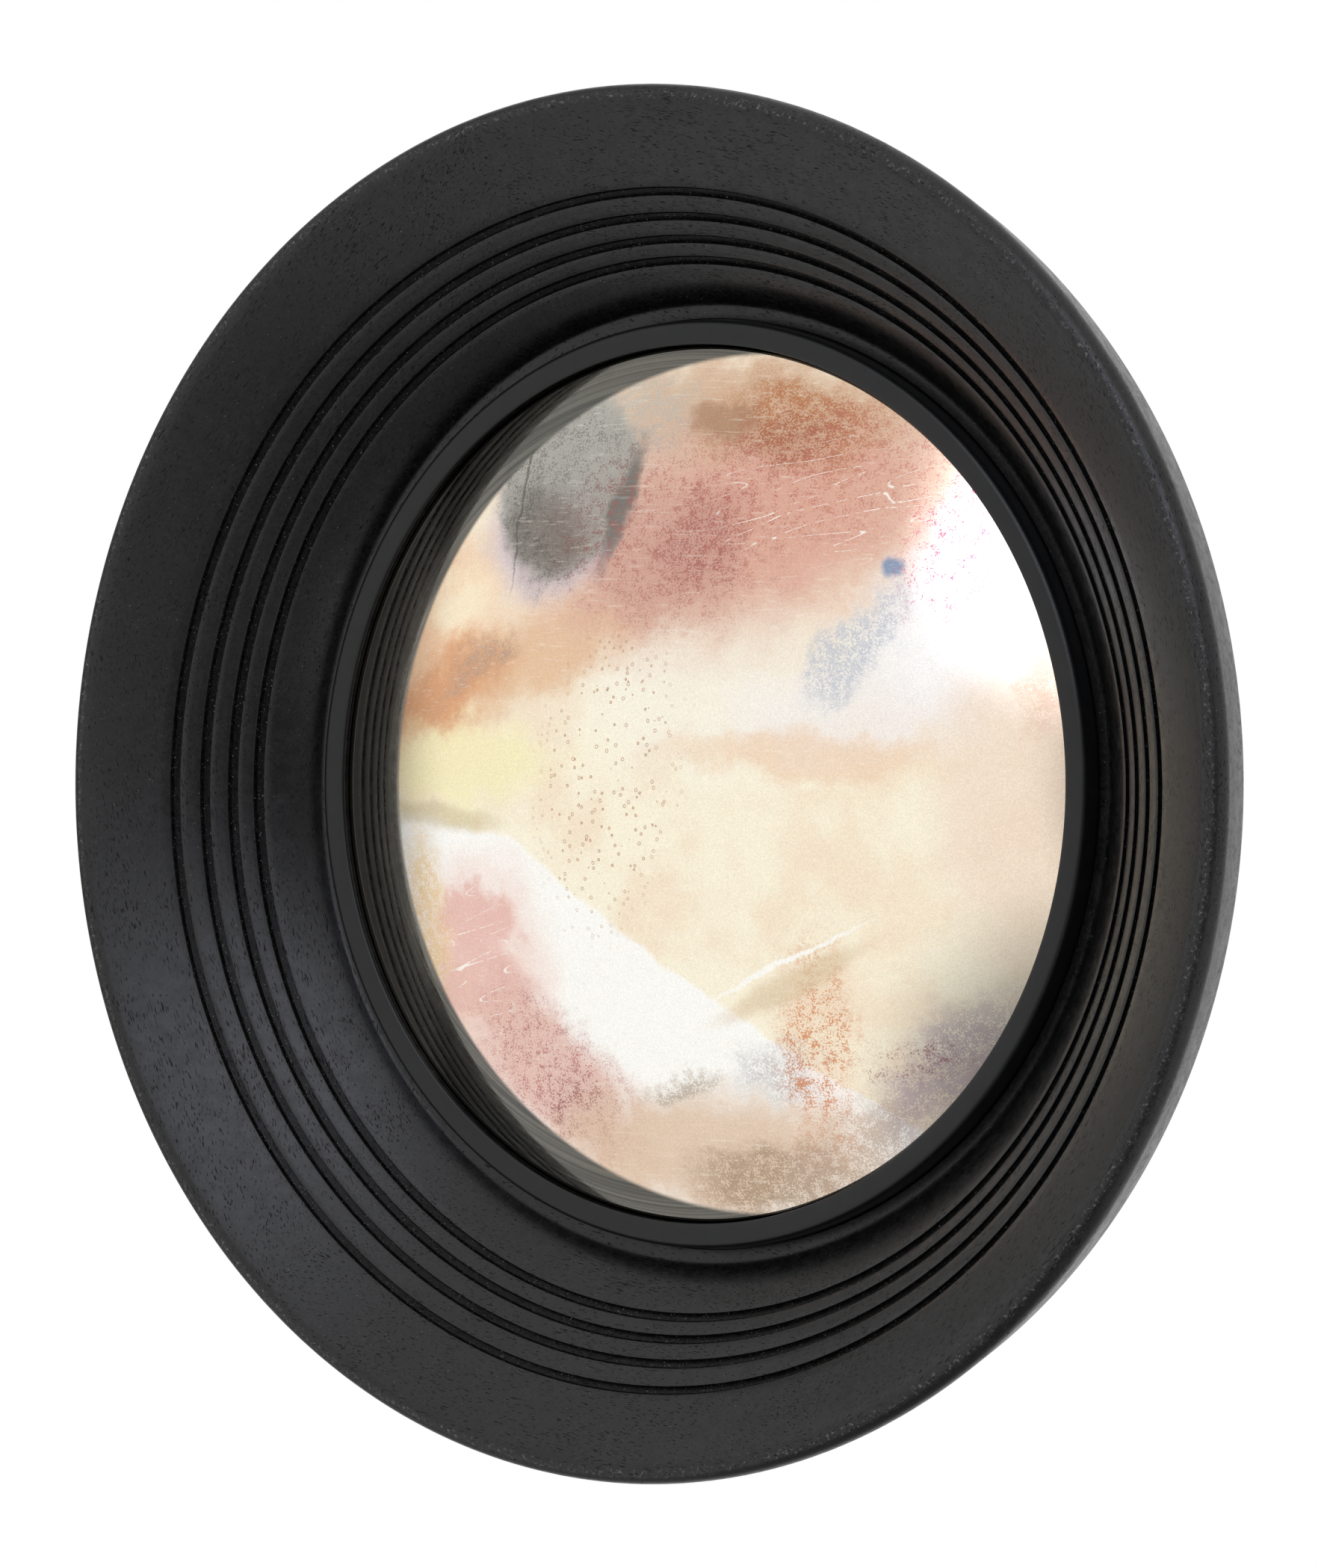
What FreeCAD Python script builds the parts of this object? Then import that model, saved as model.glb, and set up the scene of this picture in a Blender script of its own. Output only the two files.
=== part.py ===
import FreeCAD, Part
import Sketcher
import math
import os

# Convex wall mirror in a turned wooden dish frame.
# The mirror's axis is Y, the front looks along -Y, and the wall plane is y = 0.
# A "level" is a distance in front of the wall plane, so y = -level.
# A "radius" is a distance from the mirror's axis, and a "height" a distance above it.
# Lengths are in mm, angles in degrees.

doc = FreeCAD.newDocument("ConvexWallMirror")
sizes = doc.addObject("Spreadsheet::Sheet", "Sizes")

driving_sizes = [
    # overall
    ("sight_radius", 125.7, "radius of the glass that shows inside the slip ring"),
    ("moulding_width", 66.8, "from the frame's opening to its outer edge"),
    ("frame_depth", 52.0, "from the wall plane to the front of the rim"),
    # turned frame
    ("shoulder_radius", 4.5, "rounding between the front face and the side"),
    ("face_curve", 300.0, "radius of the gently swelling front face, in section"),
    ("side_taper", 20.0, "how far the side leans in towards the wall"),
    ("side_length", 16.0, "length of the side behind the shoulder"),
    ("floor_width", 4.2, "flat floor beside the slip ring"),
    ("floor_level", 15.8, "level of that floor"),
    ("lip_thickness", 4.0, "wood left between the floor and the rebate"),
    ("rebate_width", 6.0, "width of the rebate behind the lip"),
    ("ledge_width", 11.0, "width of the ledge that carries the turn buttons"),
    ("foot_width", 20.0, "width of the ring that meets the wall"),
    ("groove_width", 2.4, "width of each turned groove"),
    ("groove_depth", 1.5, "depth of each turned groove"),
    ("groove_inset_a", 28.6, "outermost groove, from the frame's outer edge"),
    ("groove_inset_b", 35.9, "second groove"),
    ("groove_inset_c", 42.6, "third groove"),
    ("groove_inset_d", 48.7, "innermost groove"),
    # slip ring
    ("slip_width", 7.0, "width of the slip ring's front"),
    ("slip_height", 5.0, "how far the slip ring stands above the floor"),
    ("slip_arris", 0.8, "rounding of the slip ring's front edges"),
    ("slip_wall", 2.5, "wood between the glass rebate and the slip ring's outside"),
    ("slip_lip", 1.3, "thickness of the slip ring's lip at the sight edge"),
    ("flange_width", 5.6, "width of the slip ring's flange"),
    ("flange_thickness", 3.0, "thickness of that flange"),
    # glass and what holds it
    ("glass_curve", 280.0, "radius of the glass's front surface"),
    ("glass_thickness", 2.5, "thickness of the glass"),
    ("glass_cover", 3.4, "how far the glass reaches under the slip ring's lip"),
    ("tape_thickness", 0.6, "felt tape between the lip and the glass"),
    ("tape_width", 2.6, "width of that tape"),
    ("foam_width", 8.0, "width of the foam ring behind the glass"),
    ("board_thickness", 3.0, "thickness of the back board"),
    # turn buttons
    ("button_count", 6, "turn buttons round the back board"),
    ("button_width", 9.0, "width of a turn button"),
    ("button_reach", 14.0, "from its screw to the tip over the board"),
    ("button_thickness", 1.5, "thickness of a turn button"),
    ("button_clearance", 0.2, "gap between a turn button and the ledge"),
    ("button_hole_radius", 1.80, "hole in a turn button"),
    ("button_screw_radius", 1.75, "shank of a turn button's screw"),
    ("button_screw_head_radius", 3.4, "head of that screw"),
    ("button_screw_head", 1.8, "height of that head at its crown"),
    ("button_screw_rim", 0.6, "height of that head at its edge"),
    ("button_screw_length", 10.0, "length of that screw in the wood"),
    # brads
    ("brad_count", 8, "brads that pin the slip ring's flange"),
    ("brad_radius", 0.6, "radius of a brad"),
    ("brad_bite", 2.5, "length of a brad in the frame's lip"),
    # keyhole plate
    ("plate_width", 38.0, "keyhole plate, side to side"),
    ("plate_height", 16.5, "keyhole plate, top to bottom"),
    ("plate_thickness", 2.0, "thickness of the keyhole plate"),
    ("plate_corner", 3.5, "rounding of the keyhole plate's corners"),
    ("plate_margin", 2.0, "metal left above and below the keyhole"),
    ("plate_inset", 0.1, "how far the plate lies in from the wall plane"),
    ("keyhole_radius", 4.25, "round opening that a wall screw's head goes through"),
    ("keyhole_slot_radius", 2.2, "half the width of the slot above it"),
    ("keyhole_rise", 6.0, "from the round opening's centre to the slot's end centre"),
    ("head_room_depth", 7.0, "hollow behind the plate for the wall screw's head"),
    ("head_room_margin", 1.2, "hollow's margin round the keyhole"),
    ("plate_screw_spacing", 28.0, "between the keyhole plate's screws"),
    ("plate_screw_radius", 1.5, "shank of a keyhole plate's screw"),
    ("plate_screw_head_radius", 2.8, "countersunk head of that screw"),
    ("plate_screw_head", 1.3, "height of that head"),
    ("plate_screw_length", 11.0, "whole length of that screw"),
    # clearances
    ("joint_gap", 0.1, "gap between pieces that seat on each other"),
    ("slip_gap", 0.3, "gap between the slip ring and the frame's opening"),
    ("edge_gap", 0.6, "gap between the back board's edge and the rebate"),
    ("drill_gap", 0.05, "gap between a screw or brad and its hole"),
    ("cut_overrun", 1.0, "how far a cut runs past the surface it starts from"),
]

derived_sizes = [
    # radii, outwards from the axis
    ("slip_outer_radius", "sight_radius + slip_width"),
    ("opening_radius", "slip_outer_radius + slip_gap"),
    ("rim_radius", "opening_radius + moulding_width"),
    ("floor_outer_radius", "opening_radius + floor_width"),
    ("rebate_radius", "opening_radius + rebate_width"),
    ("recess_radius", "rebate_radius + ledge_width"),
    ("foot_outer_radius", "recess_radius + foot_width"),
    # shoulder, and the front face that runs from it down to the floor
    ("shoulder_centre_radius", "rim_radius - shoulder_radius"),
    ("shoulder_centre_level", "frame_depth - shoulder_radius"),
    ("span_across", "shoulder_centre_radius - floor_outer_radius"),
    ("span_down", "shoulder_centre_level - floor_level"),
    ("span", "sqrt(span_across^2 + span_down^2)"),
    ("curve_inside", "face_curve - shoulder_radius"),
    ("foot_along", "(face_curve^2 - curve_inside^2 + span^2) / (2 * span)"),
    ("foot_away", "sqrt(face_curve^2 - foot_along^2)"),
    ("curve_centre_radius",
     "floor_outer_radius + (foot_along * span_across + foot_away * span_down) / span"),
    ("curve_centre_level",
     "floor_level + (foot_along * span_down - foot_away * span_across) / span"),
    ("face_start_radius",
     "curve_centre_radius + (shoulder_centre_radius - curve_centre_radius) * face_curve / curve_inside"),
    ("face_start_level",
     "curve_centre_level + (shoulder_centre_level - curve_centre_level) * face_curve / curve_inside"),
    # side and back
    ("side_start_radius", "shoulder_centre_radius + shoulder_radius * cos(side_taper)"),
    ("side_start_level", "shoulder_centre_level - shoulder_radius * sin(side_taper)"),
    ("side_end_radius", "side_start_radius - side_length * sin(side_taper)"),
    ("side_end_level", "side_start_level - side_length * cos(side_taper)"),
    # slip ring
    ("slip_top_level", "floor_level + slip_height"),
    ("slip_side_level", "slip_top_level - slip_arris"),
    ("slip_inner_arris_radius", "sight_radius + slip_arris"),
    ("slip_outer_arris_radius", "slip_outer_radius - slip_arris"),
    ("lip_back_level", "floor_level - lip_thickness"),
    ("flange_front_level", "lip_back_level - joint_gap"),
    ("flange_back_level", "flange_front_level - flange_thickness"),
    ("flange_radius", "slip_outer_radius + flange_width"),
    ("glass_pocket_radius", "slip_outer_radius - slip_wall"),
    # glass: its curve's centre lies behind the wall, and the tape seats it under the lip
    ("lip_under_level", "slip_top_level - slip_lip"),
    ("lip_curve", "glass_curve + tape_thickness + 2 * joint_gap"),
    ("glass_centre_level", "lip_under_level - sqrt(lip_curve^2 - sight_radius^2)"),
    ("glass_radius", "sight_radius + glass_cover"),
    ("glass_back_curve", "glass_curve - glass_thickness"),
    ("glass_apex_level", "glass_centre_level + glass_curve"),
    ("glass_back_apex_level", "glass_centre_level + glass_back_curve"),
    ("glass_edge_level", "glass_centre_level + sqrt(glass_curve^2 - glass_radius^2)"),
    ("glass_back_edge_level", "glass_centre_level + sqrt(glass_back_curve^2 - glass_radius^2)"),
    ("lip_root_level", "glass_centre_level + sqrt(lip_curve^2 - glass_pocket_radius^2)"),
    # tape, between the lip and the glass
    ("tape_front_curve", "lip_curve - joint_gap"),
    ("tape_back_curve", "glass_curve + joint_gap"),
    ("tape_inner_radius", "sight_radius + (glass_cover - tape_width) / 2"),
    ("tape_outer_radius", "tape_inner_radius + tape_width"),
    ("tape_inner_front_level",
     "glass_centre_level + sqrt(tape_front_curve^2 - tape_inner_radius^2)"),
    ("tape_outer_front_level",
     "glass_centre_level + sqrt(tape_front_curve^2 - tape_outer_radius^2)"),
    ("tape_inner_back_level",
     "glass_centre_level + sqrt(tape_back_curve^2 - tape_inner_radius^2)"),
    ("tape_outer_back_level",
     "glass_centre_level + sqrt(tape_back_curve^2 - tape_outer_radius^2)"),
    # back board and foam ring
    ("board_front_level", "flange_back_level - joint_gap"),
    ("ledge_level", "board_front_level - board_thickness"),
    ("board_radius", "rebate_radius - edge_gap"),
    ("foam_curve", "glass_back_curve - joint_gap"),
    ("foam_outer_radius", "glass_radius - joint_gap"),
    ("foam_inner_radius", "foam_outer_radius - foam_width"),
    ("foam_back_level", "board_front_level + joint_gap"),
    ("foam_inner_level", "glass_centre_level + sqrt(foam_curve^2 - foam_inner_radius^2)"),
    ("foam_outer_level", "glass_centre_level + sqrt(foam_curve^2 - foam_outer_radius^2)"),
    # turn buttons, each turning on its own screw in the ledge
    ("button_end_radius", "button_width / 2"),
    ("button_pitch_radius", "rebate_radius + ledge_width / 2"),
    ("button_front_level", "ledge_level - button_clearance"),
    ("button_back_level", "button_front_level - button_thickness"),
    ("button_tip_radius", "button_pitch_radius - button_reach + button_end_radius"),
    ("button_pilot_radius", "button_screw_radius + drill_gap"),
    ("button_shank_side", "button_pitch_radius + button_screw_radius"),
    ("button_head_side", "button_pitch_radius + button_screw_head_radius"),
    ("button_head_level", "button_back_level - joint_gap"),
    ("button_head_edge_level", "button_head_level - button_screw_rim"),
    ("button_head_back_level", "button_head_level - button_screw_head"),
    ("button_head_dome", "button_screw_head - button_screw_rim"),
    ("button_head_curve",
     "(button_screw_head_radius^2 + button_head_dome^2) / (2 * button_head_dome)"),
    ("button_screw_point", "ledge_level + button_screw_length"),
    ("button_taper_level", "button_screw_point - button_screw_radius"),
    ("button_pilot_depth", "button_screw_length + drill_gap"),
    # brads, driven from the back through the flange into the frame's lip
    ("brad_pitch_radius", "slip_outer_radius + flange_width / 2"),
    ("brad_hole_radius", "brad_radius + drill_gap"),
    ("brad_point", "lip_back_level + brad_bite"),
    ("brad_side", "brad_pitch_radius + brad_radius"),
    ("brad_flange_depth", "flange_thickness + joint_gap"),
    ("brad_lip_depth", "brad_bite + drill_gap"),
    # keyhole plate, let into the foot ring at the top
    ("plate_back_level", "plate_inset"),
    ("plate_front_level", "plate_inset + plate_thickness"),
    ("plate_seat_level", "plate_front_level + joint_gap"),
    ("plate_centre_height", "(recess_radius + foot_outer_radius) / 2"),
    ("keyhole_height",
     "plate_centre_height - plate_height / 2 + plate_margin + keyhole_radius"),
    ("slot_height", "keyhole_height + keyhole_rise"),
    ("head_room_radius", "keyhole_radius + head_room_margin"),
    ("plate_screw_reach", "plate_screw_spacing / 2"),
    ("plate_seat_width", "plate_width + 2 * joint_gap"),
    ("plate_seat_height", "plate_height + 2 * joint_gap"),
    ("plate_seat_corner", "plate_corner + joint_gap"),
    ("plate_shank_side", "plate_screw_reach + plate_screw_radius"),
    ("plate_head_side", "plate_screw_reach + plate_screw_head_radius"),
    ("plate_screw_neck", "plate_back_level + plate_screw_head"),
    ("plate_screw_point", "plate_back_level + plate_screw_length"),
    ("plate_taper_level", "plate_screw_point - plate_screw_radius"),
    ("plate_hole_radius", "plate_screw_radius + drill_gap"),
    ("plate_sink_radius", "plate_screw_head_radius + drill_gap"),
    ("plate_hole_side", "plate_screw_reach + plate_hole_radius"),
    ("plate_sink_side", "plate_screw_reach + plate_sink_radius"),
    ("plate_pilot_depth", "plate_screw_length - plate_thickness + drill_gap"),
]

groove_letters = "abcd"
for row, (name, value, note) in enumerate(driving_sizes, start=1):
    sizes.set("A%d" % row, name)
    sizes.set("B%d" % row, str(value))
    sizes.set("C%d" % row, note)
    sizes.setAlias("B%d" % row, name)
face_level = "curve_centre_level + sqrt(face_curve^2 - (curve_centre_radius - %s)^2)"
for letter in groove_letters:
    outer, inner = "groove_outer_" + letter, "groove_inner_" + letter
    derived_sizes += [
        ("groove_radius_" + letter, "rim_radius - groove_inset_" + letter),
        (outer, "groove_radius_%s + groove_width / 2" % letter),
        (inner, "groove_radius_%s - groove_width / 2" % letter),
        ("groove_top_" + letter, face_level % outer + " + cut_overrun"),
        ("groove_outer_floor_" + letter, face_level % outer + " - groove_depth"),
        ("groove_inner_floor_" + letter, face_level % inner + " - groove_depth"),
    ]
first_derived = len(driving_sizes) + 1
for row, (name, formula) in enumerate(derived_sizes, start=first_derived):
    sizes.set("A%d" % row, name)
    sizes.set("B%d" % row, "=" + formula)
    sizes.setAlias("B%d" % row, name)
doc.recompute()

on_axis = "on_axis"         # radius 0, and
wall_plane = "wall_plane"   # level 0, are the sketch's own axes instead of cells
origin_geometry = -1
horizontal_axis, vertical_axis = -1, -2
start_point, end_point, centre_point = 1, 2, 3
left, right = 1, -1         # the way an arc turns as the outline passes along it


def size(name):
    """The value of a named cell, or 0 on an axis."""
    return 0.0 if name in (on_axis, wall_plane) else float(sizes.get(name))


def new_body(name):
    body = doc.addObject("PartDesign::Body", name)
    body.Label = name
    return body


def origin_item(body, role):
    """One of a body's own origin planes or axes."""
    return next(item for item in body.Origin.OriginFeatures if item.Role == role)


def new_sketch(body, name, role, offset=None):
    """A sketch on an origin plane, or moved along the plane's normal by a named cell."""
    sketch = body.newObject("Sketcher::SketchObject", name)
    sketch.AttachmentSupport = [(origin_item(body, role), "")]
    sketch.MapMode = "FlatFace"
    if offset:
        sketch.AttachmentOffset = FreeCAD.Placement(
            FreeCAD.Vector(0, 0, size(offset)), FreeCAD.Rotation())
        sketch.setExpression("AttachmentOffset.Base.z", "Sizes." + offset)
    return sketch


def bind(sketch, kind, *values):
    """Adds a constraint whose value is a named cell, the last of values."""
    index = sketch.addConstraint(Sketcher.Constraint(kind, *values[:-1], size(values[-1])))
    sketch.setExpression("Constraints[%d]" % index, "Sizes." + values[-1])


def pin_point(sketch, edge, point, across, up):
    """Holds a point at named distances from the sketch's origin; up may be negative."""
    if across == on_axis:
        sketch.addConstraint(Sketcher.Constraint("PointOnObject", edge, point, vertical_axis))
    else:
        bind(sketch, "DistanceX", origin_geometry, start_point, edge, point, across)
    if up in (on_axis, wall_plane):
        sketch.addConstraint(Sketcher.Constraint("PointOnObject", edge, point, horizontal_axis))
    elif up.startswith("-"):
        bind(sketch, "DistanceY", edge, point, origin_geometry, start_point, up[1:])
    else:
        bind(sketch, "DistanceY", origin_geometry, start_point, edge, point, up)


def arc_centre(start, end, radius, turn):
    """The centre of the shorter arc from start to end."""
    middle = (start + end) * 0.5
    half = (end - start).Length / 2
    across = FreeCAD.Vector(start.y - end.y, end.x - start.x, 0).normalize()
    return middle + across * turn * math.sqrt(radius**2 - half**2)


def draw_section(sketch, corners, arcs=None):
    """Draws half of a turned section: a closed outline of (radius, level) cell names.

    arcs gives, for the side that leaves a corner, its radius and the way it turns.
    """
    arcs = arcs or {}
    points = [FreeCAD.Vector(size(radius), -size(level), 0) for radius, level in corners]
    sides = []
    for index, start in enumerate(points):
        end = points[(index + 1) % len(points)]
        if index not in arcs:
            edge = sketch.addGeometry(Part.LineSegment(start, end))
            sides.append((edge, start_point, end_point))
            continue
        radius, turn = arcs[index]
        centre = arc_centre(start, end, size(radius), turn)
        first, last = (start, end) if turn == left else (end, start)
        circle = Part.Circle(centre, FreeCAD.Vector(0, 0, 1), size(radius))
        first_angle = math.atan2(first.y - centre.y, first.x - centre.x)
        last_angle = math.atan2(last.y - centre.y, last.x - centre.x)
        edge = sketch.addGeometry(Part.ArcOfCircle(circle, first_angle, last_angle))
        ends = (start_point, end_point) if turn == left else (end_point, start_point)
        sides.append((edge, *ends))
    for index, (edge, here, there) in enumerate(sides):
        next_edge, next_here, _ = sides[(index + 1) % len(sides)]
        sketch.addConstraint(Sketcher.Constraint("Coincident", edge, there, next_edge, next_here))
        radius, level = corners[index]
        pin_point(sketch, edge, here, radius, level if level == wall_plane else "-" + level)
        if index in arcs:
            bind(sketch, "Radius", edge, arcs[index][0])


def draw_circle(sketch, across, up, radius):
    centre = FreeCAD.Vector(size(across), size(up), 0)
    edge = sketch.addGeometry(Part.Circle(centre, FreeCAD.Vector(0, 0, 1), size(radius)))
    pin_point(sketch, edge, centre_point, across, up)
    bind(sketch, "Radius", edge, radius)


def draw_slot(sketch, first, second, radius):
    """A slot with round ends about two (across, up) centres, at one height or one above the other."""
    one = FreeCAD.Vector(size(first[0]), size(first[1]), 0)
    two = FreeCAD.Vector(size(second[0]), size(second[1]), 0)
    heading = math.atan2(two.y - one.y, two.x - one.x)
    side = FreeCAD.Vector(-math.sin(heading), math.cos(heading), 0) * size(radius)
    normal = FreeCAD.Vector(0, 0, 1)
    quarter = math.pi / 2
    cap_one = sketch.addGeometry(Part.ArcOfCircle(
        Part.Circle(one, normal, size(radius)), heading + quarter, heading + 3 * quarter))
    cap_two = sketch.addGeometry(Part.ArcOfCircle(
        Part.Circle(two, normal, size(radius)), heading - quarter, heading + quarter))
    low = sketch.addGeometry(Part.LineSegment(one - side, two - side))
    high = sketch.addGeometry(Part.LineSegment(two + side, one + side))
    for joint in ((cap_one, end_point, low, start_point), (low, end_point, cap_two, start_point),
                  (cap_two, end_point, high, start_point), (high, end_point, cap_one, start_point)):
        sketch.addConstraint(Sketcher.Constraint("Tangent", *joint))
    pin_point(sketch, cap_one, centre_point, *first)
    pin_point(sketch, cap_two, centre_point, *second)
    bind(sketch, "Radius", cap_one, radius)


def draw_rounded_plate(sketch, width, height, corner):
    """A rectangle with round corners, centred on the keyhole plate's place."""
    half_width, half_height = size(width) / 2, size(height) / 2
    radius, middle = size(corner), size("plate_centre_height")
    normal = FreeCAD.Vector(0, 0, 1)
    quarter = math.pi / 2
    signs = ((1, -1), (1, 1), (-1, 1), (-1, -1))
    centres = [FreeCAD.Vector(sx * (half_width - radius), middle + sz * (half_height - radius), 0)
               for sx, sz in signs]
    arcs = [sketch.addGeometry(Part.ArcOfCircle(Part.Circle(centre, normal, radius),
                                                (turn - 1) * quarter, turn * quarter))
            for turn, centre in enumerate(centres)]
    lines = []
    for index, centre in enumerate(centres):
        following = centres[(index + 1) % len(centres)]
        out = FreeCAD.Vector(math.cos(index * quarter), math.sin(index * quarter), 0) * radius
        lines.append(sketch.addGeometry(Part.LineSegment(centre + out, following + out)))
    for index, line in enumerate(lines):
        next_arc = arcs[(index + 1) % len(arcs)]
        sketch.addConstraint(Sketcher.Constraint("Tangent", arcs[index], end_point, line, start_point))
        sketch.addConstraint(Sketcher.Constraint("Tangent", line, end_point, next_arc, start_point))
        sketch.addConstraint(Sketcher.Constraint("Vertical" if index % 2 == 0 else "Horizontal", line))
    for arc in arcs[1:]:
        sketch.addConstraint(Sketcher.Constraint("Equal", arcs[0], arc))
    bind(sketch, "Radius", arcs[0], corner)
    bind(sketch, "DistanceX", lines[2], start_point, lines[0], start_point, width)
    bind(sketch, "DistanceY", lines[3], start_point, lines[1], start_point, height)
    middle_point = sketch.addGeometry(Part.Point(FreeCAD.Vector(0, middle, 0)), True)
    pin_point(sketch, middle_point, start_point, on_axis, "plate_centre_height")
    sketch.addConstraint(Sketcher.Constraint(
        "Symmetric", arcs[0], centre_point, arcs[2], centre_point, middle_point, start_point))


def finish_feature(body, feature):
    body.Tip = feature
    doc.recompute()
    return feature


def turn_section(body, name, corners, arcs=None, kind="Revolution"):
    """Turns a section about the mirror's axis: Revolution adds, Groove cuts."""
    sketch = new_sketch(body, name + "_section", "XY_Plane")
    draw_section(sketch, corners, arcs)
    feature = body.newObject("PartDesign::" + kind, name)
    feature.Profile = sketch
    feature.ReferenceAxis = (sketch, ["V_Axis"])
    feature.Angle = 360
    return finish_feature(body, feature)


def turn_fastener(body, name, corners, centre, arcs=None, height=None, kind="Revolution"):
    """Turns a section about a line at the named distance centre, parallel to the mirror's axis."""
    sketch = new_sketch(body, name + "_section", "XY_Plane", height)
    draw_section(sketch, corners, arcs)
    ends = [FreeCAD.Vector(size(centre), -size(level), 0) for level in (corners[0][1], corners[-1][1])]
    line = sketch.addGeometry(Part.LineSegment(*ends), True)
    pin_point(sketch, line, start_point, centre, "-" + corners[0][1])
    pin_point(sketch, line, end_point, centre, "-" + corners[-1][1])
    feature = body.newObject("PartDesign::" + kind, name)
    feature.Profile = sketch
    feature.ReferenceAxis = (sketch, ["Axis0"])
    feature.Angle = 360
    return finish_feature(body, feature)


def pad(body, name, sketch, length):
    """Raises a sketch towards the front by a named length."""
    feature = body.newObject("PartDesign::Pad", name)
    feature.Profile = sketch
    feature.setExpression("Length", "Sizes." + length)
    return finish_feature(body, feature)


def cut_forward(body, name, sketch, length):
    """Cuts from a sketch towards the front by a named length."""
    before = body.Shape.Volume
    feature = body.newObject("PartDesign::Pocket", name)
    feature.Profile = sketch
    feature.setExpression("Length", "Sizes." + length)
    feature.Reversed = True
    finish_feature(body, feature)
    if not body.Shape.Volume < before:
        raise ValueError(name + " cuts nothing")
    return feature


def repeat_round(body, name, features, count):
    """Repeats features round the mirror's axis."""
    pattern = body.newObject("PartDesign::PolarPattern", name)
    pattern.Originals = features
    pattern.Axis = (origin_item(body, "Y_Axis"), [""])
    pattern.Angle = 360
    pattern.setExpression("Occurrences", "Sizes." + count)
    return finish_feature(body, pattern)


def mirror_sideways(body, name, features):
    """Repeats features on the other side of the vertical centre plane."""
    mirrored = body.newObject("PartDesign::Mirrored", name)
    mirrored.Originals = features
    mirrored.MirrorPlane = (origin_item(body, "YZ_Plane"), [""])
    return finish_feature(body, mirrored)


def make_turned_frame():
    """The dish frame, turned from one ring of wood, with the seats for all it carries."""
    body = new_body("turned_frame")
    turn_section(body, "ring", [
        ("opening_radius", "floor_level"),
        ("floor_outer_radius", "floor_level"),
        ("face_start_radius", "face_start_level"),
        ("side_start_radius", "side_start_level"),
        ("side_end_radius", "side_end_level"),
        ("foot_outer_radius", wall_plane),
        ("recess_radius", wall_plane),
        ("recess_radius", "ledge_level"),
        ("rebate_radius", "ledge_level"),
        ("rebate_radius", "lip_back_level"),
        ("opening_radius", "lip_back_level"),
    ], {1: ("face_curve", left), 2: ("shoulder_radius", left)})
    for letter in groove_letters:
        before = body.Shape.Volume
        turn_section(body, "groove_" + letter, [
            ("groove_outer_" + letter, "groove_top_" + letter),
            ("groove_outer_" + letter, "groove_outer_floor_" + letter),
            ("groove_inner_" + letter, "groove_inner_floor_" + letter),
            ("groove_inner_" + letter, "groove_top_" + letter),
        ], kind="Groove")
        if not body.Shape.Volume < before:
            raise ValueError("a turned groove cuts nothing")
    seat = new_sketch(body, "plate_seat_outline", "XZ_Plane")
    draw_rounded_plate(seat, "plate_seat_width", "plate_seat_height", "plate_seat_corner")
    cut_forward(body, "plate_seat", seat, "plate_seat_level")
    room = new_sketch(body, "head_room_outline", "XZ_Plane", "plate_seat_level")
    draw_slot(room, (on_axis, "keyhole_height"), (on_axis, "slot_height"), "head_room_radius")
    cut_forward(body, "head_room", room, "head_room_depth")
    pilot = new_sketch(body, "plate_pilot_outline", "XZ_Plane", "plate_seat_level")
    draw_circle(pilot, "plate_screw_reach", "plate_centre_height", "plate_hole_radius")
    pilot_hole = cut_forward(body, "plate_pilot", pilot, "plate_pilot_depth")
    mirror_sideways(body, "plate_pilots", [pilot_hole])
    button_pilot = new_sketch(body, "button_pilot_outline", "XZ_Plane", "ledge_level")
    draw_circle(button_pilot, "button_pitch_radius", on_axis, "button_pilot_radius")
    button_hole = cut_forward(body, "button_pilot", button_pilot, "button_pilot_depth")
    repeat_round(body, "button_pilots", [button_hole], "button_count")
    brad_pilot = new_sketch(body, "brad_pilot_outline", "XZ_Plane", "lip_back_level")
    draw_circle(brad_pilot, "brad_pitch_radius", on_axis, "brad_hole_radius")
    brad_hole = cut_forward(body, "brad_pilot", brad_pilot, "brad_lip_depth")
    repeat_round(body, "brad_pilots", [brad_hole], "brad_count")
    return body


def make_slip_ring():
    """The smooth ring round the glass; its flange sits in the frame's rebate."""
    body = new_body("slip_ring")
    turn_section(body, "ring", [
        ("sight_radius", "lip_under_level"),
        ("sight_radius", "slip_side_level"),
        ("slip_inner_arris_radius", "slip_top_level"),
        ("slip_outer_arris_radius", "slip_top_level"),
        ("slip_outer_radius", "slip_side_level"),
        ("slip_outer_radius", "flange_front_level"),
        ("flange_radius", "flange_front_level"),
        ("flange_radius", "flange_back_level"),
        ("glass_pocket_radius", "flange_back_level"),
        ("glass_pocket_radius", "lip_root_level"),
    ], {1: ("slip_arris", left), 3: ("slip_arris", left)})
    hole_outline = new_sketch(body, "brad_hole_outline", "XZ_Plane", "flange_back_level")
    draw_circle(hole_outline, "brad_pitch_radius", on_axis, "brad_hole_radius")
    hole = cut_forward(body, "brad_hole", hole_outline, "brad_flange_depth")
    repeat_round(body, "brad_holes", [hole], "brad_count")


def make_slip_brads():
    """Headless brads through the flange into the frame's lip, one solid each."""
    body = new_body("slip_brads")
    brad = turn_fastener(body, "brad", [
        ("brad_pitch_radius", "flange_back_level"),
        ("brad_side", "flange_back_level"),
        ("brad_side", "brad_point"),
        ("brad_pitch_radius", "brad_point"),
    ], "brad_pitch_radius")
    repeat_round(body, "brads", [brad], "brad_count")


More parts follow.
